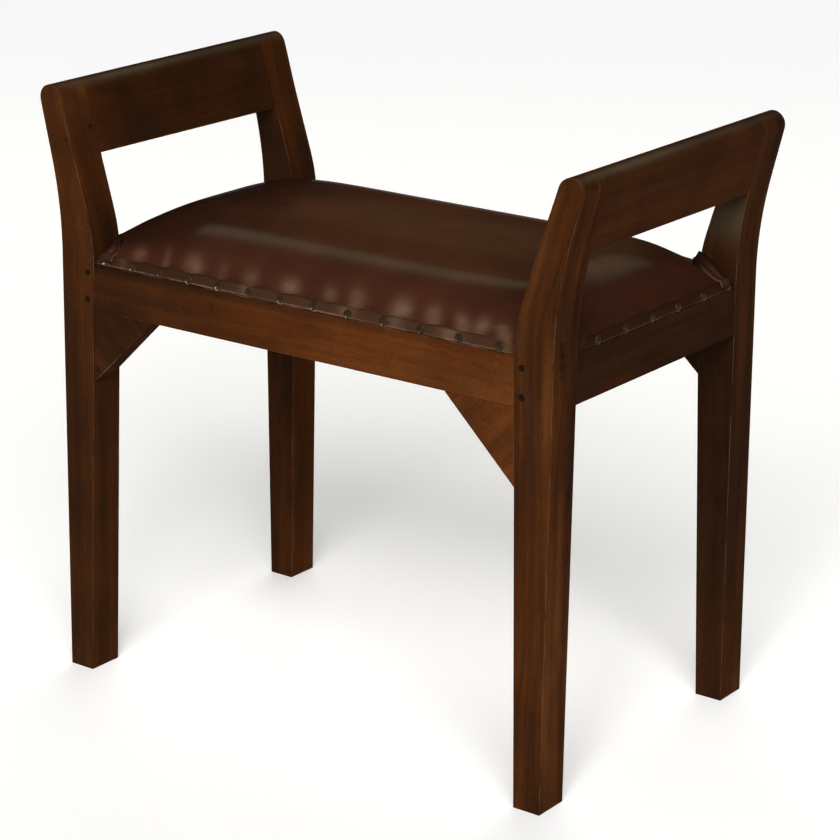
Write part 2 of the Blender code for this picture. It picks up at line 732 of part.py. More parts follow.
dark_wood = make_material("dark_stained_wood", (0.055, 0.020, 0.008), 0.38, 0)
rail_wood = make_material("red_stained_wood", (0.085, 0.028, 0.010), 0.40, 0)
peg_wood = make_material("peg_wood", (0.022, 0.009, 0.005), 0.50, 0)
plywood = make_material("seat_plywood", (0.42, 0.28, 0.15), 0.70, 0)
foam = make_material("seat_foam", (0.75, 0.66, 0.42), 0.95, 0)
leather = make_material("oxblood_leather", (0.060, 0.022, 0.014), 0.34, 0)
brass = make_material("antique_brass", (0.28, 0.18, 0.07), 0.36, 1)
cutter_material = make_material("cutter", (0.5, 0.5, 0.5), 0.5, 0)

mortises = make_mortises()
peg_holes = make_peg_holes()
tack_holes = make_tack_holes()

for corner_side, corner_end in CORNERS:
    make_leg(corner_side, corner_end)
    make_bracket(corner_side, corner_end)
for rail_end in (FRONT, REAR):
    make_long_rail(rail_end)
for rail_side in (LEFT, RIGHT):
    make_side_rail(rail_side)
    make_arm_rail(rail_side)
make_pegs()
make_board()
make_foam()
make_cover()
make_tacks()
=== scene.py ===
import math
import random

import bmesh
import bpy
import numpy as np
from mathutils import Matrix, Vector


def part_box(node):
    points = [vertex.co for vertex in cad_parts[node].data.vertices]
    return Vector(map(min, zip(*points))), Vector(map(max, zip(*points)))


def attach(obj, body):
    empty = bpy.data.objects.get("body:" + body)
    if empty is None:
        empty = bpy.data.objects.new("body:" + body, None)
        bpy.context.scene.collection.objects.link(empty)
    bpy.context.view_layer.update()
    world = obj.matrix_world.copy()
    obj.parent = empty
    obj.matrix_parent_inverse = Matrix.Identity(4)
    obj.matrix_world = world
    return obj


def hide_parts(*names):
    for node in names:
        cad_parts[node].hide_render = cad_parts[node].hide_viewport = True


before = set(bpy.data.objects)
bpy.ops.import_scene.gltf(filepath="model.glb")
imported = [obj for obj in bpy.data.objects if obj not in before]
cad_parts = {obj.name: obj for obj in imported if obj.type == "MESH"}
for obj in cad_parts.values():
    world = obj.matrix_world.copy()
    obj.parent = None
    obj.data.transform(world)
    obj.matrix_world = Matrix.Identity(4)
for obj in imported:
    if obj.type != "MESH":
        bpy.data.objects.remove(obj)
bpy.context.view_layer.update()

# Sizes of the bench, in metres, the same as those of its solids
HALF_WIDTH = 0.270
HALF_DEPTH = 0.1625
RAIL_TOP = 0.400
RAIL_HEIGHT = 0.044
RAIL_BOTTOM = RAIL_TOP - RAIL_HEIGHT
RAIL_THICKNESS = 0.022
JOINT_GAP = 0.0003
ARM_TOP = 0.557
LEG_THICKNESS = 0.0356
LEG_FOOT_WIDTH = 0.0269
LEG_SEAT_WIDTH = 0.0386
LEG_SPLAY = math.radians(0.79)
POST_LEAN = math.radians(13.8)
BEND_START = 0.405
BEND_RADIUS = 0.370
KNEE_HEIGHT = 0.4216
KNEE_RADIUS = 0.150
NOSE_RADIUS = 0.012
ARM_RAIL_HEIGHT = 0.069
ARM_FOOT = 0.4904
BRACKET_THICKNESS = 0.018
BRACKET_RUN = {"front": 0.070, "rear": 0.062}
BRACKET_DROP = {"front": 0.069, "rear": 0.056}
LEG_ARRIS = 0.0018
RAIL_ARRIS = 0.0009
BOARD_ARRIS = 0.0008
PEG_RADIUS = 0.003
PEG_DEPTH = 0.004
PEG_SUNK = 0.0043

# Heights at which the legs, posts, arms and long rails are drawn, and turns round the noses in degrees
FIRST_SLICE = 0.0005
LEG_LEVELS = (0, 0.06, 0.14, 0.22, 0.30, 0.356, 0.385)
POST_LEVELS = (0.455, 0.466, 0.478, 0.4905, 0.503, 0.518, 0.532, 0.5415)
ARM_LEVELS = (0.4985, 0.512, 0.528, 0.5415)
NOSE_TURNS = (2, 16, 30, 43, 55, 66, 76, 84)
RAIL_UPPER_LEVEL = RAIL_TOP - 0.009

# How far each arm's top stands from level, at the front and at the rear, and where that begins
ARM_LIFT = {"left": (0.0010, 0.0045), "right": (-0.0030, -0.0010)}
ARM_LIFT_START = 0.500

# The upholstery
HEM_BOTTOM = 0.4008
CREASE = 0.4111
CREASE_X = 0.2686
CREASE_Y = 0.1611
PAD_CROWN = 0.039
PAD_END_ROUNDING = {"left": (8.0, 2.0), "right": (9.5, 2.0)}
PAD_SIDE_ROUNDING = (3.4, 1.6)
COVER_CLEARANCE = 0.0005
COVER_BLANK_DROP = 0.0106
HEM_SLOPE = 0.0020
HEM_INNER = 0.4092
START_SHORT = 0.004
BLOWN_SHARE = 0.2
BOARD_MIDDLE = 0.40455
BOARD_THICKNESS = 0.0085
BOARD_INSET = 0.0125
BOARD_CLIP = 0.066
TACK_HEIGHT = 0.40455
TACK_RADIUS = 0.0037
TACK_RIM = 0.0041
TACK_DOME = 0.34
TACK_LIFT = 0.0006
TACK_LEAN = 0.07
TOUCH = 0.00001

# The blowing up of the pad: coarseness of its form, pressure, time, the most that it may swell,
# where it is held and how soon the skin lies on it
FORM_CELL = 0.005
PAD_PRESSURE = 4
BLOWING_FRAMES = 20
LARGEST_SWELL = 0.007
NAILED_BELOW = CREASE + 0.0008
SKIN_BLEND = 0.06

# The hem in section, from the crease down and round the cut edge to the board:
# how far out it lies, as a share of its slope, and how high, as a share of its height
HEM_ROWS = ((-0.55, 0.90), (-0.15, 0.80), (0.28, 0.73), (0.55, 0.47), (0.86, 0.20), (1.0, 0.06), (0.80, 0.0))
TRIM_ROWS = (6, 7)
# Its rows inside, against the board: how far out in metres, and how high as a share
LINING_ROWS = ((0.0, 0.02), (-0.0019, 1.0))

# How deep and how wide the pad is drawn down at each post, and how wide its edge dives beside the posts
CORNER_SINK = {
    ("front", "left"): (0.0022, 0.024), ("front", "right"): (0.0045, 0.026),
    ("rear", "left"): (0.0045, 0.026), ("rear", "right"): (0.0045, 0.026),
}
DIVE = {("front", "left", "side"): 0.006, ("front", "left", "end"): 0.016, ("rear", "right", "side"): 0.018}
PLAIN_DIVE = 0.011
DIVE_TOP = 0.4180
DIVE_FALL = 0.0164
LEAST_DIVE = 0.004

# How the leather puffs out between the tacks and is drawn in at them, and how far its edge is pulled down
PUFF_HEIGHT = 0.0006
PUFF_REACH = 0.012
DRAWN_DEPTH = 0.0005
DRAWN_REACH = 0.008
RIM_DROP = {"left": 0.0045, "rear": 0.0036}
RIM_REACH = 0.034

# The two long edges of each corner fold, from the inner corner of a post to the last tack:
# share of the way along the post, distance from the post and height above the pad
LOW_FOLD = (
    (
        (0.06, 0.0010, 0.0006), (0.40, 0.0032, 0.0010), (0.72, 0.0080, 0.0011),
        (0.94, 0.0104, 0.0010), (1.05, 0.0100, -0.0004), (1.09, 0.0095, -0.0064),
    ),
    (
        (0.12, 0.0056, 0.0005), (0.50, 0.0160, 0.0012), (0.72, 0.0212, 0.0015),
        (0.92, 0.0247, 0.0012), (1.05, 0.0245, 0.0000), (1.09, 0.0230, -0.0052),
    ),
)
RAISED_FOLD = (
    (
        (0.02, 0.0004, 0.0080), (0.12, 0.0006, 0.0076), (0.34, 0.0010, 0.0056), (0.62, 0.0036, 0.0020),
        (0.90, 0.0098, 0.0006), (1.05, 0.0120, 0.0002), (1.09, 0.0118, -0.0060),
    ),
    (
        (0.00, 0.0090, 0.0001), (0.04, 0.0115, 0.0005), (0.20, 0.0162, 0.0008), (0.50, 0.0215, 0.0010),
        (0.80, 0.0250, 0.0010), (1.03, 0.0270, 0.0004), (1.09, 0.0265, -0.0050),
    ),
)

# Leather where it faces front, in painted shade on the upper slopes, where it is sat on (partly wear, partly a painted
# warm reflection), and in painted shade at the left and right of the pad, on the hem and on the folds
LEATHER = {
    "front": (0.053, 0.0166, 0.0089), "shaded": (0.032, 0.0115, 0.0057),
    "sat on and lit": (0.049, 0.0187, 0.0078), "ends": (0.0155, 0.0062, 0.0034),
}
# Painted highlights along the front edge and on the front hem, standing in for reflections: where they are, how wide
# and how strong
FRONT_HIGHLIGHTS = (
    (-0.184, 0.0085, 0.50), (-0.153, 0.0040, 0.40), (-0.120, 0.0100, 0.72), (-0.087, 0.0065, 0.28),
    (-0.055, 0.0090, 0.42), (-0.011, 0.0105, 0.82), (0.033, 0.0075, 0.52), (0.062, 0.0090, 0.72),
    (0.1090, 0.0105, 0.92), (0.142, 0.0085, 0.76), (0.172, 0.0078, 0.74), (0.191, 0.0075, 0.80),
    (0.214, 0.0080, 0.66),
)
PATCH_INSET = 0.0095
HEM_HIGHLIGHTS = (
    (-0.196, 0.0050, 0.22), (-0.053, 0.0065, 0.40), (0.059, 0.0080, 0.55),
    (0.110, 0.0090, 0.34), (0.168, 0.0110, 0.50), (0.226, 0.0060, 0.32),
)

# A painted highlight on the right shoulder of the pad: how strong, and its middle and width across and along
SHOULDER_HIGHLIGHT = (0.24, (0.219, 0.016), (-0.028, 0.060))

# Stains of the legs and arms and of the rails, from dark to light, and of arrises worn through, which also serve as
# painted edge highlights
FRAME_STAIN = (
    (0.05, (0.010, 0.0042, 0.0018)), (0.40, (0.026, 0.0095, 0.0036)),
    (0.70, (0.054, 0.0165, 0.0042)), (1.0, (0.095, 0.032, 0.009)),
)
RAIL_STAIN = (
    (0.05, (0.010, 0.0042, 0.0018)), (0.40, (0.030, 0.0105, 0.0038)),
    (0.70, (0.070, 0.0195, 0.0046)), (1.0, (0.115, 0.036, 0.009)),
)
WORN_WOOD_AND_EDGE_HIGHLIGHT = (0.17, 0.080, 0.042)

# Tone of each wooden piece at its start, middle and end, and how much its front face differs
WOOD_TONE = {
    "leg_front_left": (0.42, 0.40, 0.76, 0.09), "leg_front_right": (0.56, 0.54, 0.58, 0.0),
    "leg_rear_left": (0.58, 0.55, 0.36, -0.16), "leg_rear_right": (0.76, 0.42, 0.44, -0.22),
    "arm_rail_left": (0.35, 0.26, 0.28, 0.0), "arm_rail_right": (0.42, 0.46, 0.42, 0.0),
    "seat_rail_front": (0.35, 0.81, 0.91, 0.0), "seat_rail_rear": (0.50, 0.45, 0.45, 0.0),
    "seat_rail_left": (0.40, 0.42, 0.40, 0.0), "seat_rail_right": (0.36, 0.32, 0.32, 0.0),
    "bracket_front_left": (0.38, 0.36, 0.38, 0.0), "bracket_front_right": (0.78, 0.76, 0.80, 0.0),
    "bracket_rear_left": (0.42, 0.42, 0.42, 0.0), "bracket_rear_right": (0.28, 0.28, 0.28, 0.0),
}
TONE_STEPS = (0, 0.55, 1)
# How far apart in the grain two pieces are cut
GRAIN_STEP = np.array((0.37, 0.53, 1.71))
# Painted light: how much lighter the right-hand faces are
RIGHT_FACE_LIGHT = {"frame_wood": 0.13}
# Lighter or darker places, by height or by share of the length: where, how wide and how much
TONE_PLACES = {
    "arm_rail_left": ("share", 0, 0.10, 0.20),
    "leg_front_left": ("height", 0.504, 0.018, -0.18),
    "leg_front_right": ("height", 0.135, 0.060, 0.20),
}
# The rear right leg: above what height its front grows lighter, and the shade on its right face near the floor
REAR_FRONT_SHADE = (0.35, 0.06)
REAR_SIDE_SHADE = (0.26, 0.10)
REAR_SIDE_DARK = 0.26
# The front rail's shade under the hem: how deep it reaches, and how dark it is from left to right
HEM_SHADOW_DEPTH = 0.004
HEM_SHADOW = ((-0.22, 0.22), (0.34, 0.20))
# Painted shade on the inner faces of the legs, by the seat and under the rails: how high, how wide and how dark
INNER_SHADE = ((0.425, 0.038, 0.26), (0.340, 0.045, 0.16))
# How strongly the slow streaks show
FIGURE = {
    "leg_front_right": 1.0, "leg_rear_right": 0.7, "arm_rail_left": 0.2, "arm_rail_right": 0.3, "seat_rail_front": 0.3,
}
PLAIN_FIGURE = 0.5
# Painted highlights on the two shoulders of a nose: turn and width in degrees, where along it they are strongest, and
# their least
SHOULDERS = ((58, 19), (124, 19))
HIGHLIGHT_ALONG = (-0.07, 0.105)
LEAST_HIGHLIGHT = 0.35
# A painted highlight on the front of a post: how high, how far up and down, and how much
POST_HIGHLIGHT = {"leg_rear_right": (0.464, 0.021, 0.85)}
# Long bands up the front of the right leg: where, how wide, how strong and of what colour
LEG_BANDS = (
    ((0.2497, -0.1640, 0.360), 0.0100, 0.55, (0.017, 0.0078, 0.0046)),
    ((0.2652, -0.1640, 0.372), 0.0062, 0.50, (0.105, 0.0380, 0.0100)),
)
BAND_SQUEEZE = 0.10
# Small dark marks in the wood: where, how large and how strong
DARK_MARKS = (
    ((-0.2600, -0.1310, 0.5180), 0.0024, 0.85), ((-0.2630, -0.1615, 0.5100), 0.0020, 0.60),
    ((0.2705, -0.1504, 0.4120), 0.0060, 0.55), ((0.2705, -0.1500, 0.4035), 0.0065, 0.75),
    ((0.2700, -0.1495, 0.3945), 0.0060, 0.70), ((0.2700, -0.1490, 0.3850), 0.0050, 0.50),
    ((0.2970, -0.1540, 0.5500), 0.0075, 0.50), ((0.2965, -0.1440, 0.5475), 0.0085, 0.60),
)
RAIL_MARKS = (
    ((-0.0921, -0.1625, 0.3839), 0.0034, 0.45), ((-0.2290, -0.1625, 0.2975), 0.0028, 0.70),
    ((-0.2235, -0.1625, 0.2955), 0.0024, 0.60),
)

# The camera, set where the photograph was taken from, with its angles in radians
CAMERA_PLACE = (1.44681, -1.94377, 1.05517)
CAMERA_TURN = 0.633972
CAMERA_DIP = 0.318741
CAMERA_ROLL = 0.008138
CAMERA_LENS = 118.763
CAMERA_SENSOR = 36

# Lamps: azimuth and elevation in degrees, then strength and softness of the suns,
# and roll, width, height, distance, power and tint of the panels
SUNS = (("key", 34, 30, 3.5, 50), ("fill", -158, 14, 2.2, 60))
PANELS = (
    ("rear_panel", -173, 34, 0, 0.75, 0.28, 2.4, 1.1, (1.0, 0.87, 0.52)),
    ("left_strip", -121, 45, -42, 1.7, 0.28, 2.4, 3.7, (0.95, 1.0, 0.68)),
    ("left_panel", -121, 48, -42, 1.5, 0.42, 2.4, 0.6, (0.95, 1.0, 0.68)),
    ("low_panel", -141, 21, 0, 2.6, 0.75, 2.6, 1.6, (1.0, 0.70, 0.36)),
    ("flash", 26, 32, 0, 0.30, 0.30, 2.2, 7.5, (1.0, 0.95, 0.86)),
)
LIT_PLACE = Vector((0, 0, 0.43))
FLOOR_GLOW = 0.24
WORLD_GLOW = 0.02

# What counts as sharp, in degrees, and as facing straight in a direction
SHARP = 40
STRAIGHT_ON = 0.98

SIDES = {"left": -1, "right": 1}
ENDS = {"front": -1, "rear": 1}
CORNERS = [(end, side) for end in ENDS for side in SIDES]


# Helpers for modelling by hand

def new_object(name, data):
    made = bpy.data.objects.new(name, data)
    bpy.context.scene.collection.objects.link(made)
    return made


def new_piece(name):
    """Name the primitive that was just added and fix its size and place in its mesh."""
    piece = bpy.context.object
    piece.name = name
    piece.data.name = name
    bpy.ops.object.transform_apply(location=True, rotation=True, scale=True)
    return piece


def work_on(piece):
    bpy.ops.object.select_all(action="DESELECT")
    piece.select_set(True)
    bpy.context.view_layer.objects.active = piece


def start_edit(piece, kind):
    work_on(piece)
    bpy.ops.object.mode_set(mode="EDIT")
    bpy.ops.mesh.select_mode(type=kind)


def end_edit():
    bpy.ops.object.mode_set(mode="OBJECT")


def pick(piece, kind, test):
    """Select, in edit mode, the vertices, edges or faces that pass a test."""
    bpy.ops.mesh.select_mode(type=kind)
    bpy.ops.mesh.select_all(action="DESELECT")
    work = bmesh.from_edit_mesh(piece.data)
    parts = {"VERT": work.verts, "EDGE": work.edges, "FACE": work.faces}[kind]
    for part in parts:
        if test(part):
            part.select_set(True)
    work.select_flush_mode()
    bmesh.update_edit_mesh(piece.data)


def runs_along(axis):
    """A test for edges that run along an axis."""
    return lambda edge: abs((edge.verts[0].co - edge.verts[1].co).normalized()[axis]) > 0.9


def cut_along(piece, axis, cuts):
    """Divide a piece along its length."""
    start_edit(piece, "EDGE")
    pick(piece, "EDGE", runs_along(axis))
    bpy.ops.mesh.subdivide(number_cuts=cuts)
    end_edit()


def finish_with(piece, kind, **settings):
    """Add a modifier and apply it."""
    work_on(piece)
    modifier = piece.modifiers.new(kind.lower(), kind)
    for key, value in settings.items():
        setattr(modifier, key, value)
    bpy.ops.object.modifier_apply(modifier=modifier.name)


def saw_off(piece, place, outwards):
    """Saw a piece through along a plane and take away what lies beyond it."""
    start_edit(piece, "FACE")
    bpy.ops.mesh.select_all(action="SELECT")
    bpy.ops.mesh.bisect(plane_co=place, plane_no=outwards, use_fill=True, clear_outer=True)
    end_edit()


def face_outwards(piece):
    start_edit(piece, "FACE")
    bpy.ops.mesh.select_all(action="SELECT")
    bpy.ops.mesh.normals_make_consistent(inside=False)
    end_edit()


def shade_soft(piece, degrees):
    work_on(piece)
    bpy.ops.object.shade_smooth_by_angle(angle=math.radians(degrees))


def points_of(piece):
    points = np.empty(len(piece.data.vertices) * 3)
    piece.data.vertices.foreach_get("co", points)
    return points.reshape(-1, 3)


def move_points(piece, x, y, z):
    piece.data.vertices.foreach_set("co", np.stack((x, y, z), 1).ravel())
    piece.data.update()


def points_on(piece, test):
    """Numbers of the points on all faces that pass a test."""
    found = set()
    for face in piece.data.polygons:
        if test(face):
            found.update(face.vertices)
    return sorted(found)


def paint(piece, name, values):
    """Store one number or one vector for every point of a piece."""
    values = np.asarray(values, np.float32)
    kind, key = ("FLOAT", "value") if values.ndim == 1 else ("FLOAT_VECTOR", "vector")
    layer = piece.data.attributes.get(name) or piece.data.attributes.new(name, kind, "POINT")
    layer.data.foreach_set(key, values.ravel())


def read_paint(piece, name):
    values = np.empty(len(piece.data.vertices))
    piece.data.attributes[name].data.foreach_get("value", values)
    return values


def rise(value, start, width):
    """0 up to the start, rising softly to 1 over a width."""
    share = np.clip((value - start) / width, 0, 1)
    return share * share * (3 - 2 * share)


def hump(value, middle, width):
    """1 at the middle, falling away softly on both sides."""
    return np.exp(-((value - middle) / width) ** 2)


def own_copy(piece, name, matrix):
    """A copy with its own mesh, its place in the mesh."""
    mesh = piece.data.copy()
    mesh.transform(matrix)
    return new_object(name, mesh)


# Outline of a right-hand leg, as X for each height

def leg_inner(height):
    return HALF_WIDTH - LEG_FOOT_WIDTH - (LEG_SEAT_WIDTH - LEG_FOOT_WIDTH) * height / RAIL_TOP


def leg_outer_y(height):
    return HALF_DEPTH + (RAIL_TOP - height) * math.tan(LEG_SPLAY)


BEND_TOP = Vector((
    HALF_WIDTH + BEND_RADIUS * (1 - math.cos(POST_LEAN)),
    BEND_START + BEND_RADIUS * math.sin(POST_LEAN),
))
NOSE_HEIGHT = ARM_TOP - NOSE_RADIUS
NOSE_FOOT = BEND_TOP - NOSE_RADIUS * Vector((math.cos(POST_LEAN), -math.sin(POST_LEAN)))
NOSE_X = NOSE_FOOT.x + (NOSE_HEIGHT - NOSE_FOOT.y) * math.tan(POST_LEAN)
KNEE = Vector((leg_inner(KNEE_HEIGHT), KNEE_HEIGHT))
KNEE_TO_NOSE = Vector((NOSE_X, NOSE_HEIGHT)) - KNEE
INNER_LEAN = math.atan2(KNEE_TO_NOSE.x, KNEE_TO_NOSE.y) - math.asin(NOSE_RADIUS / KNEE_TO_NOSE.length)
LEG_TAPER = math.atan((LEG_SEAT_WIDTH - LEG_FOOT_WIDTH) / RAIL_TOP)
KNEE_TANGENT = KNEE_RADIUS * math.tan((INNER_LEAN + LEG_TAPER) / 2)
KNEE_UPPER = KNEE + KNEE_TANGENT * Vector((math.sin(INNER_LEAN), math.cos(INNER_LEAN)))
KNEE_CENTRE = KNEE_UPPER + KNEE_RADIUS * Vector((math.cos(INNER_LEAN), -math.sin(INNER_LEAN)))
KNEE_LOWER = KNEE_HEIGHT - KNEE_TANGENT * math.cos(LEG_TAPER)
NOSE_LEVELS = [NOSE_HEIGHT + NOSE_RADIUS * math.sin(math.radians(turn)) for turn in NOSE_TURNS]


def nose_half(height):
    return math.sqrt(max(0, NOSE_RADIUS ** 2 - (height - NOSE_HEIGHT) ** 2))


def post_outer(height):
    if height < BEND_START:
        return HALF_WIDTH
    if height < BEND_TOP.y:
        return HALF_WIDTH + BEND_RADIUS - math.sqrt(BEND_RADIUS ** 2 - (height - BEND_START) ** 2)
    if height < NOSE_HEIGHT - NOSE_RADIUS * math.sin(POST_LEAN):
        return BEND_TOP.x + (height - BEND_TOP.y) * math.tan(POST_LEAN)
    return NOSE_X + nose_half(height)


def post_inner(height):
    if height < KNEE_LOWER:
        return leg_inner(height)
    if height < KNEE_UPPER.y:
        return KNEE_CENTRE.x - math.sqrt(KNEE_RADIUS ** 2 - (height - KNEE_CENTRE.y) ** 2)
    if height < NOSE_HEIGHT + NOSE_RADIUS * math.sin(INNER_LEAN):
        return KNEE.x + (height - KNEE.y) * math.tan(INNER_LEAN)
    return NOSE_X - nose_half(height)


def across_post(side, height):
    return sorted((side * post_inner(height), side * post_outer(height)))


# Wooden pieces. A section of one is its height and its limits there in X and in Y

def middle_of(section):
    height, low_x, high_x, low_y, high_y = section
    return Vector(((low_x + high_x) / 2, (low_y + high_y) / 2, height))


def stack(name, sections):
    """A post or rail drawn up from its lowest section through all the others."""
    height, low_x, high_x, low_y, high_y = sections[0]
    bpy.ops.mesh.primitive_cube_add(
        size=1,
        location=middle_of((height + FIRST_SLICE / 2, *sections[0][1:])),
        scale=(high_x - low_x, high_y - low_y, FIRST_SLICE),
    )
    piece = new_piece(name)
    start_edit(piece, "FACE")
    pick(piece, "FACE", lambda face: face.normal.z > 0.9)
    last = (height + FIRST_SLICE, *sections[0][1:])
    for section in sections[1:]:
        bpy.ops.mesh.extrude_region_move(TRANSFORM_OT_translate={"value": middle_of(section) - middle_of(last)})
        wider, deeper = ((section[i + 1] - section[i]) / (last[i + 1] - last[i]) for i in (1, 3))
        bpy.ops.transform.resize(value=(wider, deeper, 1), center_override=middle_of(section))
        last = section
    end_edit()
    return piece


def ease_arrises(piece, width, keep=lambda edge: True):
    """Round the sharp edges, and remember where they are so that the finish can wear there and show painted edge
    highlights.
    """
    sides = [face.normal.copy() for face in piece.data.polygons]
    start_edit(piece, "EDGE")
    pick(piece, "EDGE", lambda edge: edge.calc_face_angle(0) > math.radians(SHARP) and keep(edge))
    bpy.ops.mesh.bevel(offset=width, segments=3, profile=0.5, affect="EDGES", clamp_overlap=True)
    end_edit()
    arris = np.ones(len(piece.data.vertices))
    arris[points_on(piece, lambda face: any(face.normal.dot(side) > 0.997 for side in sides))] = 0
    paint(piece, "arris", arris)


def wood_tone(piece, slot, node, share):
    """How light the wood is at every point, by the way along the piece and by what each face looks at."""
    # Besides the wood's own tone, this holds painted light on the right-hand faces and painted shade under the hem and
    # on the inner faces of the legs
    *tones, front = WOOD_TONE[node]
    tone = np.interp(share, TONE_STEPS, tones)
    x, _, z = points_of(piece).T
    fronts = np.array(points_on(piece, lambda face: face.normal.y < -STRAIGHT_ON), int)
    rights = points_on(piece, lambda face: face.normal.x > 0.9)
    inners = points_on(piece, lambda face: face.normal.x * face.center.x < 0 and abs(face.normal.x) > 0.6)
    if node.startswith("leg_rear"):
        fronts = fronts[z[fronts] < ARM_FOOT]
    # Painted light on the right-hand faces
    tone[rights] += RIGHT_FACE_LIGHT.get(slot, 0)
    if node == "leg_rear_right":
        front = front * (1 - rise(z[fronts], *REAR_FRONT_SHADE))
        tone[rights] -= REAR_SIDE_DARK * (1 - rise(z[rights], *REAR_SIDE_SHADE))
    tone[fronts] += front
    if node == "seat_rail_front":
        tone -= np.where(z > RAIL_TOP - HEM_SHADOW_DEPTH, np.interp(x, *HEM_SHADOW), 0)
    if node in TONE_PLACES:
        measure, middle, width, change = TONE_PLACES[node]
        tone += change * hump(share if measure == "share" else z, middle, width)
    # Painted shade on the inner faces of the legs
    if node.startswith("leg_"):
        for middle, width, dark in INNER_SHADE:
            tone[inners] -= dark * hump(z[inners], middle, width)
    return tone


def dress_wood(piece, slot, node, grain):
    """Shade, finish and hand over one wooden piece in place of its solid.

    Its grain is given as three measures for every point, two across and the last along the piece.
    """
    cut = sorted(WOOD_TONE).index(node)
    paint(piece, "grain", np.stack(grain, 1) + cut * GRAIN_STEP)
    length = grain[2]
    tone = wood_tone(piece, slot, node, (length - length.min()) / (length.max() - length.min()))
    paint(piece, "tone", tone)
    paint(piece, "figure", np.full(len(tone), FIGURE.get(node, PLAIN_FIGURE)))
    shade_soft(piece, SHARP)
    finish_with(piece, "WEIGHTED_NORMAL", keep_sharp=True)
    piece.data.materials.append(FINISHES[slot])
    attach(piece, "root")
    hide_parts(node)


def paint_nose_highlight(piece, end=0, patch=None):
    """Paint highlights along the two shoulders of the round top of a post or arm.

    The outer end of a post stays dark. A patch is a painted highlight on its front.
    """
    x, y, z = points_of(piece).T
    turn = np.degrees(np.arctan2(z - NOSE_HEIGHT, np.abs(x) - NOSE_X))
    stripes = sum(hump(turn, *shoulder) for shoulder in SHOULDERS)
    wood_highlight = stripes * (LEAST_HIGHLIGHT + (1 - LEAST_HIGHLIGHT) * hump(y, *HIGHLIGHT_ALONG)) * (1 - read_paint(piece, "arris"))
    wood_highlight[points_on(piece, lambda face: face.normal.y * end > STRAIGHT_ON)] = 0
    if patch:
        *where, strength = patch
        front = points_on(piece, lambda face: face.normal.y < -STRAIGHT_ON)
        wood_highlight[front] = np.maximum(wood_highlight[front], strength * hump(z[front], *where))
    paint(piece, "wood_highlight", wood_highlight)


def raise_arm(piece, side_name):
    """The arms were shaped by hand, so their tops are not quite level."""
    x, y, z = points_of(piece).T
    lift = np.interp(y, (-HALF_DEPTH, HALF_DEPTH), ARM_LIFT[side_name])
    move_points(piece, x, y, z + lift * rise(z, ARM_LIFT_START, ARM_TOP - ARM_LIFT_START))


def make_leg(end_name, side_name):
    side, end = SIDES[side_name], ENDS[end_name]
    node = f"leg_{end_name}_{side_name}"
    knee_levels = [KNEE_LOWER + (KNEE_UPPER.y - KNEE_LOWER) * step / 8 for step in range(9)]
    sections = []
    for height in sorted((*LEG_LEVELS, *knee_levels, *POST_LEVELS, *NOSE_LEVELS)):
        outer = end * leg_outer_y(height)
        sections.append((height, *across_post(side, height), *sorted((outer, outer - end * LEG_THICKNESS))))
    leg = stack(f"{node}_wood", sections)

    def away_from_arm(edge):
        middle = (edge.verts[0].co + edge.verts[1].co) / 2
        inner = leg_outer_y(middle.z) - LEG_THICKNESS
        return middle.z <= ARM_FOOT or end * middle.y >= inner + 0.001

    ease_arrises(leg, LEG_ARRIS, away_from_arm)
    heights, low_x, high_x = np.array(sections).T[:3]
    centres = (low_x + high_x) / 2
    along = np.concatenate(([0], np.cumsum(np.hypot(np.diff(heights), np.diff(centres)))))
    x, y, z = points_of(leg).T
    paint_nose_highlight(leg, end, POST_HIGHLIGHT.get(node))
    raise_arm(leg, side_name)
    grain = (x - np.interp(z, heights, centres), y, np.interp(z, heights, along))
    dress_wood(leg, "frame_wood", node, grain)


def make_arm_rail(side_name):
    """Arm between two posts, leaning as they do, its lower face square to its lean."""
    side = SIDES[side_name]
    node = f"arm_rail_{side_name}"
    sections = []
    for height in (*ARM_LEVELS, *NOSE_LEVELS):
        reach = leg_outer_y(height) - LEG_THICKNESS - JOINT_GAP
        sections.append((height, *across_post(side, height), -reach, reach))
    rail = stack(f"{node}_wood", sections)
    lean = (POST_LEAN + INNER_LEAN) / 2
    down = (ARM_RAIL_HEIGHT - NOSE_RADIUS) * Vector((math.sin(lean), math.cos(lean)))
    foot = Vector((NOSE_X, NOSE_HEIGHT)) - down
    low = ARM_LEVELS[0]
    start_edit(rail, "VERT")
    for edge_x, edge_lean in ((post_outer(low), POST_LEAN), (post_inner(low), INNER_LEAN)):
        slope = math.tan(edge_lean)
        drop = (low - foot.y + (edge_x - foot.x) * math.tan(lean)) / (1 + slope * math.tan(lean))
        pick(rail, "VERT", lambda vert: vert.co.z < low + 0.0001 and abs(abs(vert.co.x) - edge_x) < 0.001)
        bpy.ops.transform.translate(value=(-side * slope * drop, 0, -drop))
    end_edit()
    cut_along(rail, 1, 5)
    ease_arrises(rail, RAIL_ARRIS, runs_along(1))
    paint_nose_highlight(rail)
    x, y, z = points_of(rail).T
    out = np.abs(x) - foot.x
    up = z - foot.y
    raise_arm(rail, side_name)
    grain = (out * math.cos(lean) - up * math.sin(lean), out * math.sin(lean) + up * math.cos(lean), y)
    dress_wood(rail, "frame_wood", node, grain)


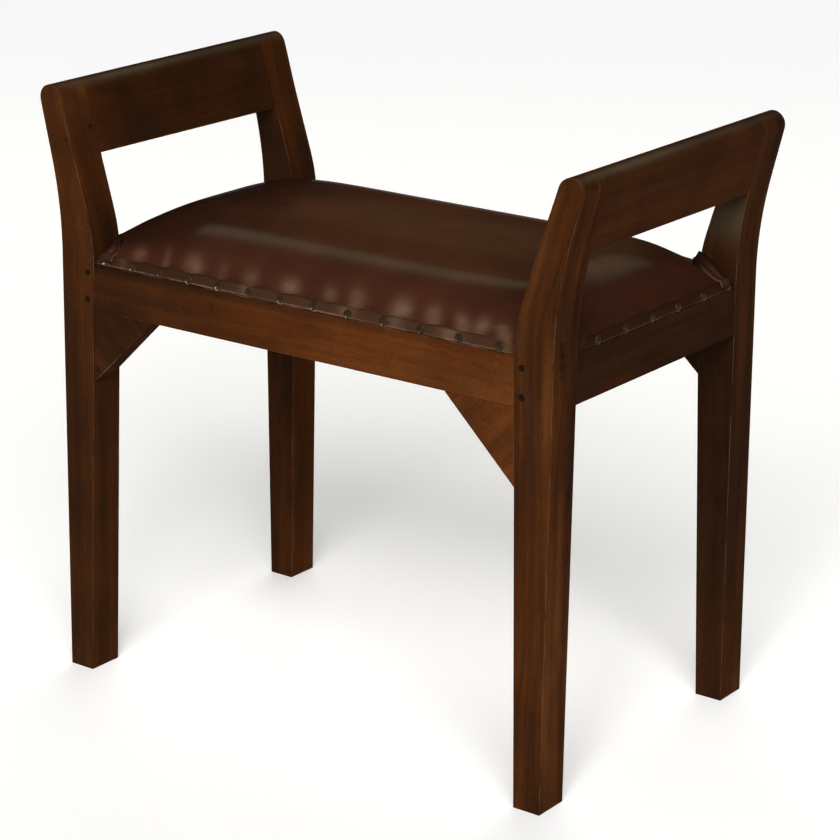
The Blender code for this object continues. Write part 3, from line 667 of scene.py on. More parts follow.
def make_seat_rail(name):
    """A rail between two legs, its ends following their taper or their splay."""
    node = f"seat_rail_{name}"
    is_long = name in ENDS
    sign, face = (ENDS[name], HALF_DEPTH) if is_long else (SIDES[name], HALF_WIDTH)
    across = sorted((sign * face, sign * (face - RAIL_THICKNESS)))
    sections = []
    for height in (RAIL_BOTTOM, RAIL_UPPER_LEVEL, RAIL_TOP) if is_long else (RAIL_BOTTOM, RAIL_TOP):
        reach = (leg_inner(height) if is_long else leg_outer_y(height) - LEG_THICKNESS) - JOINT_GAP
        sections.append((height, -reach, reach, *across) if is_long else (height, *across, -reach, reach))
    rail = stack(f"{node}_wood", sections)
    if is_long:
        cut_along(rail, 0, 11)
    ease_arrises(rail, RAIL_ARRIS, runs_along(0 if is_long else 1))
    x, y, z = points_of(rail).T
    dress_wood(rail, "rail_wood", node, (y, z, x) if is_long else (x, z, y))


def make_bracket(end_name, side_name):
    """Three-cornered bracket, sawn across a square block."""
    side, end = SIDES[side_name], ENDS[end_name]
    node = f"bracket_{end_name}_{side_name}"
    run = BRACKET_RUN[end_name]
    drop = BRACKET_DROP[end_name]
    top = RAIL_BOTTOM - JOINT_GAP
    corner = leg_inner(top) - JOINT_GAP
    tip = leg_inner(top - drop) - JOINT_GAP
    limits_y = sorted((end * HALF_DEPTH, end * (HALF_DEPTH - BRACKET_THICKNESS)))
    sections = []
    for height, outer in ((top - drop, tip), (top, corner)):
        limits_x = sorted((side * (corner - run), side * outer))
        sections.append((height, *limits_x, *limits_y))
    bracket = stack(f"{node}_wood", sections)
    saw_off(bracket, (side * tip, 0, top - drop), (-side * drop, 0, corner - run - tip))
    ease_arrises(bracket, RAIL_ARRIS, lambda edge: not runs_along(1)(edge))
    x, y, z = points_of(bracket).T
    jointed = (z > top - 0.003) | (side * x > tip + 0.001)
    paint(bracket, "arris", np.where(jointed, 0, read_paint(bracket, "arris")))
    lean = math.atan2(drop, run)
    along = side * x * math.cos(lean) + z * math.sin(lean)
    across = -side * x * math.sin(lean) + z * math.cos(lean)
    dress_wood(bracket, "rail_wood", node, (y, across, along))


def make_pegs():
    """Round pegs with eased, slightly domed heads."""
    bpy.ops.mesh.primitive_cylinder_add(
        vertices=24, radius=PEG_RADIUS, depth=PEG_DEPTH, location=(0, 0, PEG_DEPTH / 2),
    )
    peg = new_piece("peg_pattern")
    start_edit(peg, "FACE")
    pick(peg, "FACE", lambda face: face.normal.z > 0.9)
    for inset, lift in ((0.0005, 0.00018), (0.0011, 0.00012)):
        bpy.ops.mesh.inset(thickness=inset)
        bpy.ops.transform.translate(value=(0, 0, lift))
    end_edit()
    shade_soft(peg, 35)
    peg.data.materials.append(FINISHES["peg_wood"])
    sunk = Matrix.Translation((0, 0, -PEG_SUNK))
    for end_name, side_name in CORNERS:
        turn = Matrix.Rotation(-ENDS[end_name] * math.pi / 2, 4, "X")
        for level in ("lower", "upper"):
            node = f"peg_{end_name}_{side_name}_{level}"
            low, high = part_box(node)
            outer = low.y if end_name == "front" else high.y
            middle = (low + high) / 2
            copy = own_copy(peg, f"{node}_wood", Matrix.Translation((middle.x, outer, middle.z)) @ turn @ sunk)
            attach(copy, "root")
            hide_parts(node)
    bpy.data.objects.remove(peg)


# Leather cover

def rounded_fall(share, rounding):
    flatness, softness = rounding
    return np.maximum(0, 1 - np.abs(share) ** flatness) ** softness


def plan_lines(notch, edge, inner_cells):
    """Lines across the plan, close together towards the edges."""
    inner = np.linspace(-notch, notch, inner_cells + 1)
    shares = np.linspace(0, 1, EDGE_CELLS + 1)[1:]
    outer = notch + (edge - notch) * (1 - (1 - shares) ** 1.4)
    return np.concatenate((-outer[::-1], inner, outer))


EDGE_CELLS = 24
NOTCH_X = leg_inner(RAIL_TOP) - COVER_CLEARANCE
NOTCH_Y = leg_outer_y(CREASE + PAD_CROWN) - LEG_THICKNESS - COVER_CLEARANCE
PLAN_X = plan_lines(NOTCH_X, CREASE_X, 290)
PLAN_Y = plan_lines(NOTCH_Y, CREASE_Y, 160)


def blank_cover():
    """A flat notched sheet with the rows of the hem drawn down from its edge."""
    cells_x = len(PLAN_X) - 1
    cells_y = len(PLAN_Y) - 1
    bpy.ops.mesh.primitive_grid_add(x_subdivisions=cells_x, y_subdivisions=cells_y, size=1)
    cover = new_piece("leather_cover_skin")
    start_edit(cover, "FACE")

    def beside_post(face):
        middle = face.calc_center_median()
        return abs(middle.x) > 0.5 - EDGE_CELLS / cells_x and abs(middle.y) > 0.5 - EDGE_CELLS / cells_y

    pick(cover, "FACE", beside_post)
    bpy.ops.mesh.delete(type="FACE")
    pick(cover, "EDGE", lambda edge: edge.is_boundary)
    for _ in (*HEM_ROWS, *LINING_ROWS):
        bpy.ops.mesh.extrude_region_move(TRANSFORM_OT_translate={"value": (0, 0, -1)})
    bpy.ops.mesh.edge_face_add()
    end_edit()
    face_outwards(cover)
    return cover


def tack_line(edge):
    """Places of the tacks along one edge."""
    axis = 0 if edge in ENDS else 1
    places = []
    for name in sorted(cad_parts):
        if name.startswith(f"tack_{edge}_"):
            low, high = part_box(name)
            places.append((low[axis] + high[axis]) / 2)
    return np.array(sorted(places))


def between_tacks(along, tacks):
    """0 at each tack, 1 half-way to the next."""
    pitch = np.mean(np.diff(tacks))
    marks = np.concatenate(([tacks[0] - pitch], tacks, [tacks[-1] + pitch]))
    phase = np.interp(along, marks, np.arange(len(marks)))
    return np.sin(math.pi * phase) ** 2


def pucker(along, inwards, tacks, chance):
    """How the leather puffs out between the tacks and is drawn down at each of them."""
    pitch = np.mean(np.diff(tacks))
    bays = np.interp(along, np.concatenate(([tacks[0] - pitch], tacks)), np.arange(len(tacks) + 1))
    fullness = np.array([chance.uniform(0.7, 1.3) for _ in range(len(tacks) + 2)])
    fullness = np.interp(bays, np.arange(len(fullness)) + 0.5, fullness)
    between = between_tacks(along, tacks)
    puff = PUFF_HEIGHT * hump(inwards, 0, PUFF_REACH)
    drawn = DRAWN_DEPTH * hump(inwards, 0, DRAWN_REACH)
    lift = fullness * puff * between - drawn * (1 - between)
    for place in tacks:
        depth = chance.uniform(0.0002, 0.0006)
        width = chance.uniform(0.0018, 0.0030)
        length = chance.uniform(0.005, 0.011)
        slant = chance.uniform(-0.6, 0.8)
        lift -= depth * hump(along - place, slant * inwards, width) * np.exp(-inwards / length)
    return lift


def plan_of(cover):
    """Row and place in plan of every point of the blank."""
    across, along, down = points_of(cover).T
    x = PLAN_X[np.rint((across + 0.5) * (len(PLAN_X) - 1)).astype(int)]
    y = PLAN_Y[np.rint((along + 0.5) * (len(PLAN_Y) - 1)).astype(int)]
    return np.rint(-down).astype(int), x, y


def crown_at(x, y):
    """Share of the crown's height at a place in plan."""
    left, right = (rounded_fall(x / CREASE_X, PAD_END_ROUNDING[side_name]) for side_name in SIDES)
    return np.where(x < 0, left, right) * rounded_fall(y / CREASE_Y, PAD_SIDE_ROUNDING)


def corner_sink(x, y):
    """How far the pad is drawn down towards the inner corner of each post."""
    total = np.zeros_like(x)
    for (end_name, side_name), (depth, reach) in CORNER_SINK.items():
        near = np.hypot(SIDES[side_name] * x - NOTCH_X, ENDS[end_name] * y - NOTCH_Y)
        total = total + depth * hump(near, 0, reach)
    return total


def rim_drop(x, y):
    """How far the left edge is pulled down beside the front post and the rear edge beside the right post."""
    left = (1 - rise(x, -CREASE_X, RIM_REACH)) * (1 - rise(y, -0.086, 0.036))
    rear = (1 - rise(CREASE_Y - y, 0, RIM_REACH)) * hump(x, NOTCH_X, 0.045)
    return RIM_DROP["left"] * left + RIM_DROP["rear"] * rear


def swell(cover, crown):
    """Blow the pad up as cloth over a soft filling, then lay the fine skin on it."""
    scene = bpy.context.scene
    form = own_copy(cover, "pad_form", Matrix())
    work_on(form)
    form.data.remesh_voxel_size = FORM_CELL
    bpy.ops.object.voxel_remesh()
    rest = points_of(form)
    pins = form.vertex_groups.new(name="nailed")
    pins.add([index for index, point in enumerate(rest) if point[2] < NAILED_BELOW], 1, "REPLACE")
    cloth = form.modifiers.new("cloth", "CLOTH")
    cloth.settings.quality = 6
    cloth.settings.mass = 0.3
    cloth.settings.use_pressure = True
    cloth.settings.uniform_pressure_force = PAD_PRESSURE
    cloth.settings.effector_weights.gravity = 0
    cloth.settings.vertex_group_mass = "nailed"
    cloth.point_cache.frame_start = 1
    cloth.point_cache.frame_end = BLOWING_FRAMES
    for frame_number in range(1, BLOWING_FRAMES + 1):
        scene.frame_set(frame_number)
    bpy.ops.object.modifier_apply(modifier="cloth")
    scene.frame_set(1)
    moved = points_of(form) - rest
    distance = np.linalg.norm(moved, axis=1, keepdims=True)
    move_points(form, *(rest + moved * np.minimum(1, LARGEST_SWELL / np.maximum(distance, 1e-9))).T)
    top = cover.vertex_groups.new(name="top")
    for index, share in enumerate(rise(crown, 0, SKIN_BLEND)):
        if share > 0:
            top.add([index], share, "REPLACE")
    finish_with(cover, "SHRINKWRAP", target=form, wrap_method="PROJECT", use_project_z=True,
                use_negative_direction=True, use_positive_direction=True, vertex_group="top")
    finish_with(cover, "SMOOTH", factor=0.5, iterations=40, vertex_group="top")
    cover.vertex_groups.clear()
    bpy.data.objects.remove(form)


def shape_cover(cover):
    """Raise the pad, pucker it between its tacks, draw it down at the posts and turn its hem."""
    row, x, y = plan_of(cover)
    crown = np.where(row == 0, crown_at(x, y), 0)
    start_crown = PAD_CROWN - START_SHORT
    move_points(cover, x, y, CREASE - np.minimum(row, 1) * COVER_BLANK_DROP + start_crown * crown)
    swell(cover, crown)
    blown = np.where(row == 0, points_of(cover)[:, 2] - CREASE, PAD_CROWN * crown)
    blown = blown * PAD_CROWN / blown.max()
    z = CREASE + PAD_CROWN * crown_at(x, y) * (1 - BLOWN_SHARE) + blown * BLOWN_SHARE

    chance = random.Random(11)
    edges = {}
    for edge, sign in (*ENDS.items(), *SIDES.items()):
        run, inwards = (x, CREASE_Y - sign * y) if edge in ENDS else (y, CREASE_X - sign * x)
        tacks = tack_line(edge)
        strength = 1.0 if edge in ("front", "right") else 0.6
        lift = strength * pucker(run, inwards, tacks, chance)
        edges[edge] = (inwards, between_tacks(run, tacks), lift)
        z = z + lift

    # Painted highlights along the front edge and on the right shoulder, standing in for reflections
    painted_sheen = np.zeros_like(x)
    inwards = CREASE_Y + y - PATCH_INSET
    for place, reach, strength in FRONT_HIGHLIGHTS:
        aside = (x - place + chance.uniform(0.35, 0.75) * inwards) / reach
        depth = chance.uniform(0.0095, 0.0135) * np.where(inwards < 0, 1.5, 1)
        patch = strength * np.exp(-np.abs(aside) ** 2.2 - np.abs(inwards / depth) ** 2.2)
        painted_sheen = painted_sheen + patch * (1 - painted_sheen)
    strength, across, along = SHOULDER_HIGHLIGHT
    painted_sheen = painted_sheen + strength * hump(x, *across) * hump(y, *along) * (1 - painted_sheen)

    # Beside each post the edge of the leather dives to the hem
    for end_name, side_name in CORNERS:
        side = SIDES[side_name]
        end = ENDS[end_name]
        for face, off_post, share in (
            ("side", NOTCH_X - side * x, (end * y - NOTCH_Y) / (CREASE_Y - NOTCH_Y)),
            ("end", NOTCH_Y - end * y, (side * x - NOTCH_X) / (CREASE_X - NOTCH_X)),
        ):
            inside = (side * x > 0) & (end * y > 0) & (off_post > -TOUCH) & (share >= 0)
            share = np.clip(share, 0, 1)
            width = LEAST_DIVE + DIVE.get((end_name, side_name, face), PLAIN_DIVE) * share
            near = np.where(inside, 1 - rise(off_post, 0, width), 0)
            z = z + (DIVE_TOP - DIVE_FALL * share - z) * near
    z = z - corner_sink(x, y) * rise(z, CREASE, 0.006)
    z = z - rim_drop(x, y)

    x, y, z = lay_hem(x, y, z, row, edges)
    move_points(cover, x, y, z)
    paint_cover(cover, row, x, y, crown, painted_sheen)


def lay_hem(x, y, z, row, edges):
    """Turn the rows below the crease into the nailed hem."""
    on_side = np.abs(np.abs(x) - CREASE_X) < TOUCH
    on_end = np.abs(np.abs(y) - CREASE_Y) < TOUCH
    by_post_x = (np.abs(np.abs(x) - NOTCH_X) < TOUCH) & (np.abs(y) > NOTCH_Y - TOUCH)
    by_post_y = (np.abs(np.abs(y) - NOTCH_Y) < TOUCH) & (np.abs(x) > NOTCH_X - TOUCH)
    puff = np.zeros_like(x)
    for inwards, between, _ in edges.values():
        puff = np.where(inwards < TOUCH, between, puff)
    out_x = np.zeros_like(x)
    out_y = np.zeros_like(x)
    height = z.copy()
    for index, (out, share) in enumerate(HEM_ROWS):
        here = row == index + 1
        amount = HEM_SLOPE * out + 0.0004 * (puff - 0.5) * (share < 0.85)
        out_x = np.where(here & on_side, amount, out_x)
        out_y = np.where(here & on_end, amount, out_y)
        height = np.where(here, HEM_BOTTOM + (z - HEM_BOTTOM) * share, height)
    top = np.minimum(HEM_INNER, z - 0.0012)
    for index, (amount, share) in enumerate(LINING_ROWS):
        here = row == len(HEM_ROWS) + 1 + index
        out_x = np.where(here & (on_side | by_post_x), np.where(on_side, amount, -0.002), out_x)
        out_y = np.where(here & (on_end | by_post_y), np.where(on_end, amount, -0.002), out_y)
        height = np.where(here, HEM_BOTTOM + (top - HEM_BOTTOM) * share, height)
    for edge, (inwards, _, lift) in edges.items():
        overhang = np.where(row == 0, 0.6, 0) * np.clip(lift, 0, 1) * hump(inwards, 0.002, 0.005)
        if edge in ENDS:
            out_y = out_y + overhang
        else:
            out_x = out_x + overhang
    return x + np.sign(x) * out_x, y + np.sign(y) * out_y, height


def paint_cover(cover, row, x, y, crown, painted_sheen):
    """Where the leather takes painted highlights and painted shade, where it is sat on, how glossy it is, its painted
    crease shadow, and its hem and cut edge.
    """
    hem = row > 0
    turned = hem & (np.abs(x) > NOTCH_X + 0.002)
    # Painted highlights on the front hem
    lit = sum(strength * hump(x, place, reach) for place, reach, strength in HEM_HIGHLIGHTS)
    paint(cover, "rub_and_highlight", np.zeros_like(x))
    paint(cover, "painted_sheen", np.where(hem, np.where(y < 0.003 - CREASE_Y, lit, 0), painted_sheen))
    paint(cover, "crown", crown)
    away = np.maximum(rise(y, 0.03, 0.06), rise(-x, 0.13, 0.06))
    shine = rise(crown, 0.05, 0.10) * (1 - away * (1 - rise(crown, 0.70, 0.25)))
    paint(cover, "gloss", np.where(hem, 0.015, 0.012 + 0.108 * shine))
    # The top where it is sat on: partly wear, partly a painted warm reflection
    paint(cover, "sat_and_lit", rise(crown, 0.50, 0.35) * (1 - rise(-x, 0.02, 0.12)))
    # Painted shade at the left and right of the pad, on the left of the hem and on the hem turned round the posts
    ends = np.maximum(0.82 * rise(-x, 0.07, 0.14), 0.50 * rise(x, 0.238, 0.025))
    ends = ends * rise(CREASE_Y + y, 0.006, 0.03)
    shadowed = np.where(hem, 0.55 * rise(-x, 0.02, 0.16), ends)
    paint(cover, "ends", np.where(turned, 0.75, shadowed))
    # Painted shadow in the crease above the hem
    paint(cover, "crease_shadow", (row == 1) * np.where(turned, 0.5, 1.0))
    paint(cover, "hem", hem * np.where(turned, 0.35, 1.0))
    paint(cover, "trim", np.isin(row, TRIM_ROWS) * np.where(turned, 0.35, 1.0))


def make_fold(end_name, side_name, along_x, edges):
    """A narrow pleat of leather, thick at its two long edges and rolled at its foot."""
    side, end = SIDES[side_name], ENDS[end_name]
    bpy.ops.mesh.primitive_grid_add(x_subdivisions=10, y_subdivisions=30, size=1)
    fold = new_piece("corner_fold")
    finish_with(fold, "SOLIDIFY", thickness=0.1, offset=-1)
    points = points_of(fold)
    across = points[:, 0] + 0.5
    along = points[:, 1] + 0.5
    below = points[:, 2] < -0.05
    rim = []
    for line in edges:
        steps = np.linspace(0, 1, len(line))
        rim.append([np.interp(along, steps, [mark[axis] for mark in line]) for axis in range(3)])
    hollow = 1 - (1 - across) ** 1.9
    turns = (across, across, hollow)
    share, off_post, lift = [first + (second - first) * turn for first, second, turn in zip(*rim, turns)]
    if along_x:
        x = side * (NOTCH_X + share * (CREASE_X - NOTCH_X))
        y = end * (NOTCH_Y - off_post)
    else:
        x = side * (NOTCH_X - off_post)
        y = end * (NOTCH_Y + share * (CREASE_Y - NOTCH_Y))
    roll = np.minimum(across, 1 - across) * 10
    body = (0.0007 * np.minimum(1, roll) + 0.0003) * rise(along, -0.03, 0.20)
    bedded = (lift + 0.0055) * (1 - rise(share, 0.90, 0.08))
    thick = np.where(below, -body - bedded, body + 0.0006 * np.sin(math.pi * across))
    move_points(fold, x, y, CREASE + PAD_CROWN * crown_at(x, y) + lift + thick)
    face_outwards(fold)
    work_on(fold)
    bpy.ops.object.shade_smooth()
    # The fold's colour: rubbed edges, a painted highlight down its middle and painted shade over the rest
    outer_rub, rub_start = (0.25, 0.35) if along_x else (0.8, 0.15)
    edge_rub = np.maximum(hump(across, 1, 0.07), hump(across, 0, 0.07) * outer_rub)
    edge_rub = edge_rub * rise(along, rub_start, 0.25)
    foot = rise(along, 0.80, 0.10)
    gloss = hump(across, 0.5, 0.22) * hump(along, 0.60, 0.22)
    paint(fold, "rub_and_highlight", np.where(below, 0, np.clip(0.62 * edge_rub + 0.16 * foot + 0.55 * gloss, 0, 1)))
    # The crown share gives the fold the painted shade of the upper slopes
    paint(fold, "crown", np.full(len(along), 0.6))
    paint(fold, "gloss", 0.01 + 0.10 * gloss)
    paint(fold, "ends", 0.8 * (1 - edge_rub) * (1 - 0.7 * gloss))
    return fold


def make_cover():
    """The leather over its pad, with a fold at two of the posts."""
    cover = blank_cover()
    shape_cover(cover)
    face_outwards(cover)
    work_on(cover)
    bpy.ops.object.shade_smooth()
    folds = [make_fold("front", "left", False, LOW_FOLD), make_fold("rear", "right", True, RAISED_FOLD)]
    work_on(cover)
    for fold in folds:
        fold.select_set(True)
    bpy.ops.object.join()
    cover.data.materials.append(FINISHES["cover_leather"])
    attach(cover, "root")
    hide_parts("leather_cover", "foam_pad")


def make_board():
    """Seat board, its corners clipped where the leather folds down beside the posts."""
    bpy.ops.mesh.primitive_cube_add(
        size=1,
        location=(0, 0, BOARD_MIDDLE),
        scale=(2 * (CREASE_X - BOARD_INSET), 2 * (CREASE_Y - BOARD_INSET), BOARD_THICKNESS),
    )
    board = new_piece("seat_board_plywood")
    for end_name, side_name in CORNERS:
        side = SIDES[side_name]
        end = ENDS[end_name]
        saw_off(board, (side * (CREASE_X - BOARD_CLIP), end * CREASE_Y, BOARD_MIDDLE), (side, end, 0))
    ease_arrises(board, BOARD_ARRIS)
    shade_soft(board, SHARP)
    board.data.materials.append(FINISHES["seat_plywood"])
    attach(board, "root")
    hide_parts("seat_board")


# Tacks

TACK_HEADINGS = {"front": 0, "rear": math.pi, "left": -math.pi / 2, "right": math.pi / 2}
# From the edge of the dome: the rolled rim, its back and the shank, as steps down and shares of width
TACK_STEPS = ((-0.0001, 1.05), (-0.0001, 1.06), (-0.0003, 1.02), (-0.0003, 0.97), (-0.0001, 0.26), (-0.006, 0.5))


def tack_pattern():
    """A low dome with a rolled rim and a shank."""
    bpy.ops.mesh.primitive_uv_sphere_add(segments=28, ring_count=16, radius=TACK_RADIUS)
    tack = new_piece("tack_pattern")
    start_edit(tack, "FACE")
    pick(tack, "FACE", lambda face: face.calc_center_median().z < 0)
    bpy.ops.mesh.delete(type="FACE")
    bpy.ops.mesh.select_all(action="SELECT")
    bpy.ops.transform.resize(value=(1, 1, TACK_DOME), center_override=(0, 0, 0))
    bpy.ops.transform.translate(value=(0, 0, 0.0003))
    for step, spread in TACK_STEPS:
        pick(tack, "EDGE", lambda edge: edge.is_boundary)
        bpy.ops.mesh.extrude_region_move(TRANSFORM_OT_translate={"value": (0, 0, step)})
        bpy.ops.transform.resize(value=(spread, spread, 1), center_override=(0, 0, 0))
    bpy.ops.mesh.edge_face_add()
    end_edit()
    face_outwards(tack)
    shade_soft(tack, 60)
    x, y, _ = points_of(tack).T
    paint(tack, "rim", rise(np.hypot(x, y) / TACK_RIM, 0.78, 0.2))
    tack.data.materials.append(FINISHES["tack_brass"])
    return tack


def paint_tack_glint(tack, edge, place, brightness):
    """Paint a highlight on the lower left of a head, where the light catches it."""
    x, y, z = points_of(tack).T
    left = place.x - x if edge in ENDS else place.y - y
    drop = place.z - z
    low = (0.40 * left + 0.92 * drop) / TACK_RADIUS
    spot = hump(np.hypot(left - 0.0010, drop - 0.0018), 0, 0.0013)
    glint = brightness * (0.30 if edge in SIDES else np.interp(place.x, (-0.02, 0.16), (1, 0.6)))
    rim = read_paint(tack, "rim") * (0.30 + 0.40 * rise(low, -0.1, 0.6))
    paint(tack, "rim", glint * (rim + 1.3 * spot))


def make_tacks():
    """Brass tacks through the hem, each leaning and turned a little differently."""
    tack = tack_pattern()
    tilt = Matrix.Rotation(math.pi / 2 - math.atan2(HEM_SLOPE, CREASE - HEM_BOTTOM), 4, "X")
    lift = Matrix.Translation((0, 0, TACK_LIFT))
    out = HEM_SLOPE * (1 - (TACK_HEIGHT - HEM_BOTTOM) / (CREASE - HEM_BOTTOM))
    chance = random.Random(5)
    for node in sorted(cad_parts):
        if not node.startswith("tack_"):
            continue
        edge = node.split("_")[1]
        low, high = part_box(node)
        middle = (low + high) / 2
        if edge in ENDS:
            place = Vector((middle.x, ENDS[edge] * (CREASE_Y + out), TACK_HEIGHT))
        else:
            place = Vector((SIDES[edge] * (CREASE_X + out), middle.y, TACK_HEIGHT))
        heading = Matrix.Rotation(TACK_HEADINGS[edge], 4, "Z")
        lean_x = Matrix.Rotation(chance.uniform(-TACK_LEAN, TACK_LEAN), 4, "X")
        lean_y = Matrix.Rotation(chance.uniform(-TACK_LEAN, TACK_LEAN), 4, "Y")
        spin = Matrix.Rotation(chance.uniform(0, math.tau), 4, "Z")
        driven = Matrix.Translation(place) @ heading @ tilt @ lift @ lean_x @ lean_y @ spin
        copy = own_copy(tack, f"{node}_brass", driven)
        paint_tack_glint(copy, edge, place, chance.uniform(0.55, 1.0))
        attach(copy, "root")
        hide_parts(node)
    bpy.data.objects.remove(tack)


# Finishes

class Finish:
    """A finish while it is being made: its nodes, its shader and the colour laid on so far."""

    def __init__(self, name):
        self.material = bpy.data.materials.new(name)
        self.material.use_nodes = True
        self.tree = self.material.node_tree
        self.shader = self.tree.nodes["Principled BSDF"]
        self.colour = None

    def fill(self, node, inputs):
        """Fill the sockets of a node with values or links."""
        for key, value in inputs.items():
            if isinstance(value, bpy.types.NodeSocket):
                self.tree.links.new(value, node.inputs[key])
            else:
                node.inputs[key].default_value = value

    def add(self, kind, inputs, output, **settings):
        """Add a node, set its options, fill its sockets and give back one output."""
        node = self.tree.nodes.new(kind)
        for key, value in settings.items():
            setattr(node, key, value)
        self.fill(node, inputs)
        return node.outputs[output]

    def painted(self, name, output="Fac"):
        return self.add("ShaderNodeAttribute", {}, output, attribute_name=name)

    def place(self):
        return self.add("ShaderNodeTexCoord", {}, "Object")

    def vectors(self, operation, first, second, output="Vector"):
        return self.add("ShaderNodeVectorMath", {0: first, 1: second}, output, operation=operation)

    def stretch(self, vector, scale):
        return self.vectors("MULTIPLY", vector, scale)

    def maths(self, operation, first, second):
        return self.add("ShaderNodeMath", {0: first, 1: second}, 0, operation=operation)

    def plus(self, first, second):
        return self.maths("ADD", first, second)

    def times(self, first, second):
        return self.maths("MULTIPLY", first, second)

    def noise(self, vector, scale=1.0, detail=3.0, roughness=0.5, output="Fac"):
        inputs = {"Vector": vector, "Scale": scale, "Detail": detail, "Roughness": roughness}
        return self.add("ShaderNodeTexNoise", inputs, output)

    def cells(self, vector, scale, feature="F1"):
        return self.add("ShaderNodeTexVoronoi", {"Vector": vector, "Scale": scale}, "Distance", feature=feature)

    def remap(self, value, low, high, to_low, to_high):
        inputs = {"Value": value, "From Min": low, "From Max": high, "To Min": to_low, "To Max": to_high}
        return self.add("ShaderNodeMapRange", inputs, "Result")

    def swing(self, value, amount):
        """Noise as a change to both sides of nought."""
        return self.remap(value, 0.3, 0.7, -amount, amount)

    def near(self, place, spot, radius):
        """1 at a spot on the bench, fading to 0 at a radius from it."""
        distance = self.vectors("DISTANCE", place, spot, "Value")
        return self.remap(distance, 0.30 * radius, 1.1 * radius, 1, 0)

    def ramp(self, value, stops):
        """Start the colour as a row of colours."""
        self.colour = self.add("ShaderNodeValToRGB", {"Fac": value}, "Color")
        elements = self.colour.node.color_ramp.elements
        while len(elements) < len(stops):
            elements.new(0.5)
        for element, (place, colour) in zip(elements, stops):
            element.position = place
            element.color = (*colour, 1)

    def layer(self, factor, tint):
        """Lay a colour over what is there, as thick as the factor says."""
        inputs = {0: factor, 6: self.colour, 7: (*tint, 1)}
        self.colour = self.add("ShaderNodeMix", inputs, 2, data_type="RGBA")

    def done(self, relief, strength, depth, **inputs):
        """Plug in the colour, the relief and the rest of the shader's settings."""
        height = {"Height": relief, "Strength": strength, "Distance": depth}
        self.fill(self.shader, {"Base Color": self.colour, "Normal": self.add("ShaderNodeBump", height, "Normal")})
        self.fill(self.shader, {SHADER_NAMES[key]: value for key, value in inputs.items()})
        return self.material


SHADER_NAMES = {
    "roughness": "Roughness", "specular": "Specular IOR Level", "metallic": "Metallic",
    "coat": "Coat Weight", "coat_roughness": "Coat Roughness",
}
MIDDLE_GREY = (0.5, 0.5, 0.5)


def stained_wood(name, stain, marks, bands=()):
    """Dark stained hardwood: slow streaks, growth lines, open pores, rubbed arrises that also serve as edge
    highlights, painted nose highlights and small dark marks.
    """
    wood = Finish(name)
    grain = wood.painted("grain", "Vector")
    place = wood.place()
    waver = wood.noise(wood.stretch(grain, (11, 11, 3.5)), detail=2, output="Color")
    drift = wood.stretch(wood.vectors("SUBTRACT", waver, MIDDLE_GREY), (0.022, 0.022, 0.0))
    bent = wood.vectors("ADD", grain, drift)
    streaks = wood.noise(wood.stretch(bent, (58, 58, 2.6)), detail=4, roughness=0.55)
    lines = wood.noise(wood.stretch(bent, (420, 420, 6)))
    pores = wood.noise(wood.stretch(bent, (1500, 1500, 60)), detail=2)
    rings = wood.noise(wood.stretch(bent, (24, 24, 1.3)), detail=1)
    blotch = wood.noise(wood.stretch(grain, (26, 26, 12)))
    cloud = wood.noise(place, scale=17)
    fleck = wood.noise(place, scale=520, detail=2)
    shade = wood.times(wood.swing(streaks, 0.30), wood.painted("figure"))
    for variation, amount in ((lines, 0.035), (cloud, 0.09), (fleck, 0.06)):
        shade = wood.plus(shade, wood.swing(variation, amount))
    wood.ramp(wood.plus(shade, wood.painted("tone")), stain)
    wood.layer(wood.remap(blotch, 0.52, 0.72, 0.0, 0.45), (0.022, 0.0110, 0.0048))
    ring = wood.remap(wood.maths("SINE", wood.times(rings, 75.0), 0.0), 0.55, 1.0, 0, 1)
    pore = wood.remap(pores, 0.56, 0.70, 0, 1)
    wood.layer(wood.plus(wood.times(ring, 0.12), wood.times(pore, 0.28)), (0.010, 0.0035, 0.0010))
    patchy = wood.remap(wood.noise(place, scale=42), 0.40, 0.60, 0, 1)
    # Worn arrises, which also serve as painted edge highlights
    wood.layer(wood.times(wood.times(wood.painted("arris"), patchy), 0.85), WORN_WOOD_AND_EDGE_HIGHLIGHT)
    # Painted highlights on the shoulders of the noses and on the front of a post
    wood.layer(wood.times(wood.painted("wood_highlight"), wood.remap(cloud, 0.3, 0.7, 0.55, 0.95)), (0.074, 0.054, 0.032))
    ragged = wood.vectors("SUBTRACT", wood.noise(place, scale=170, output="Color"), MIDDLE_GREY)
    ragged = wood.vectors("ADD", wood.stretch(ragged, (0.009, 0.009, 0.009)), place)
    drawn = wood.stretch(ragged, (1, 1, BAND_SQUEEZE))
    for spot, radius, strength, tint in bands:
        band = wood.near(drawn, (spot[0], spot[1], BAND_SQUEEZE * spot[2]), radius)
        wood.layer(wood.times(band, strength), tint)
    for spot, radius, strength in marks:
        wood.layer(wood.times(wood.near(ragged, spot, radius), strength), (0.008, 0.0035, 0.0018))
    relief = wood.maths("SUBTRACT", wood.remap(lines, 0.3, 0.7, 0, 0.5), pore)
    roughness = wood.remap(streaks, 0.3, 0.7, 0.56, 0.44)
    return wood.done(relief, 0.30, 0.00025, roughness=roughness, specular=0.0, coat=0.022, coat_roughness=0.28)


def dark_peg_wood():
    """End grain of the pegs, nearly black and finely flecked."""
    wood = Finish("peg_end_grain")
    fleck = wood.noise(wood.place(), scale=900)
    wood.ramp(fleck, ((0.30, (0.006, 0.003, 0.002)), (0.70, (0.016, 0.007, 0.003))))
    return wood.done(fleck, 0.4, 0.0002, roughness=0.55, specular=0.02)


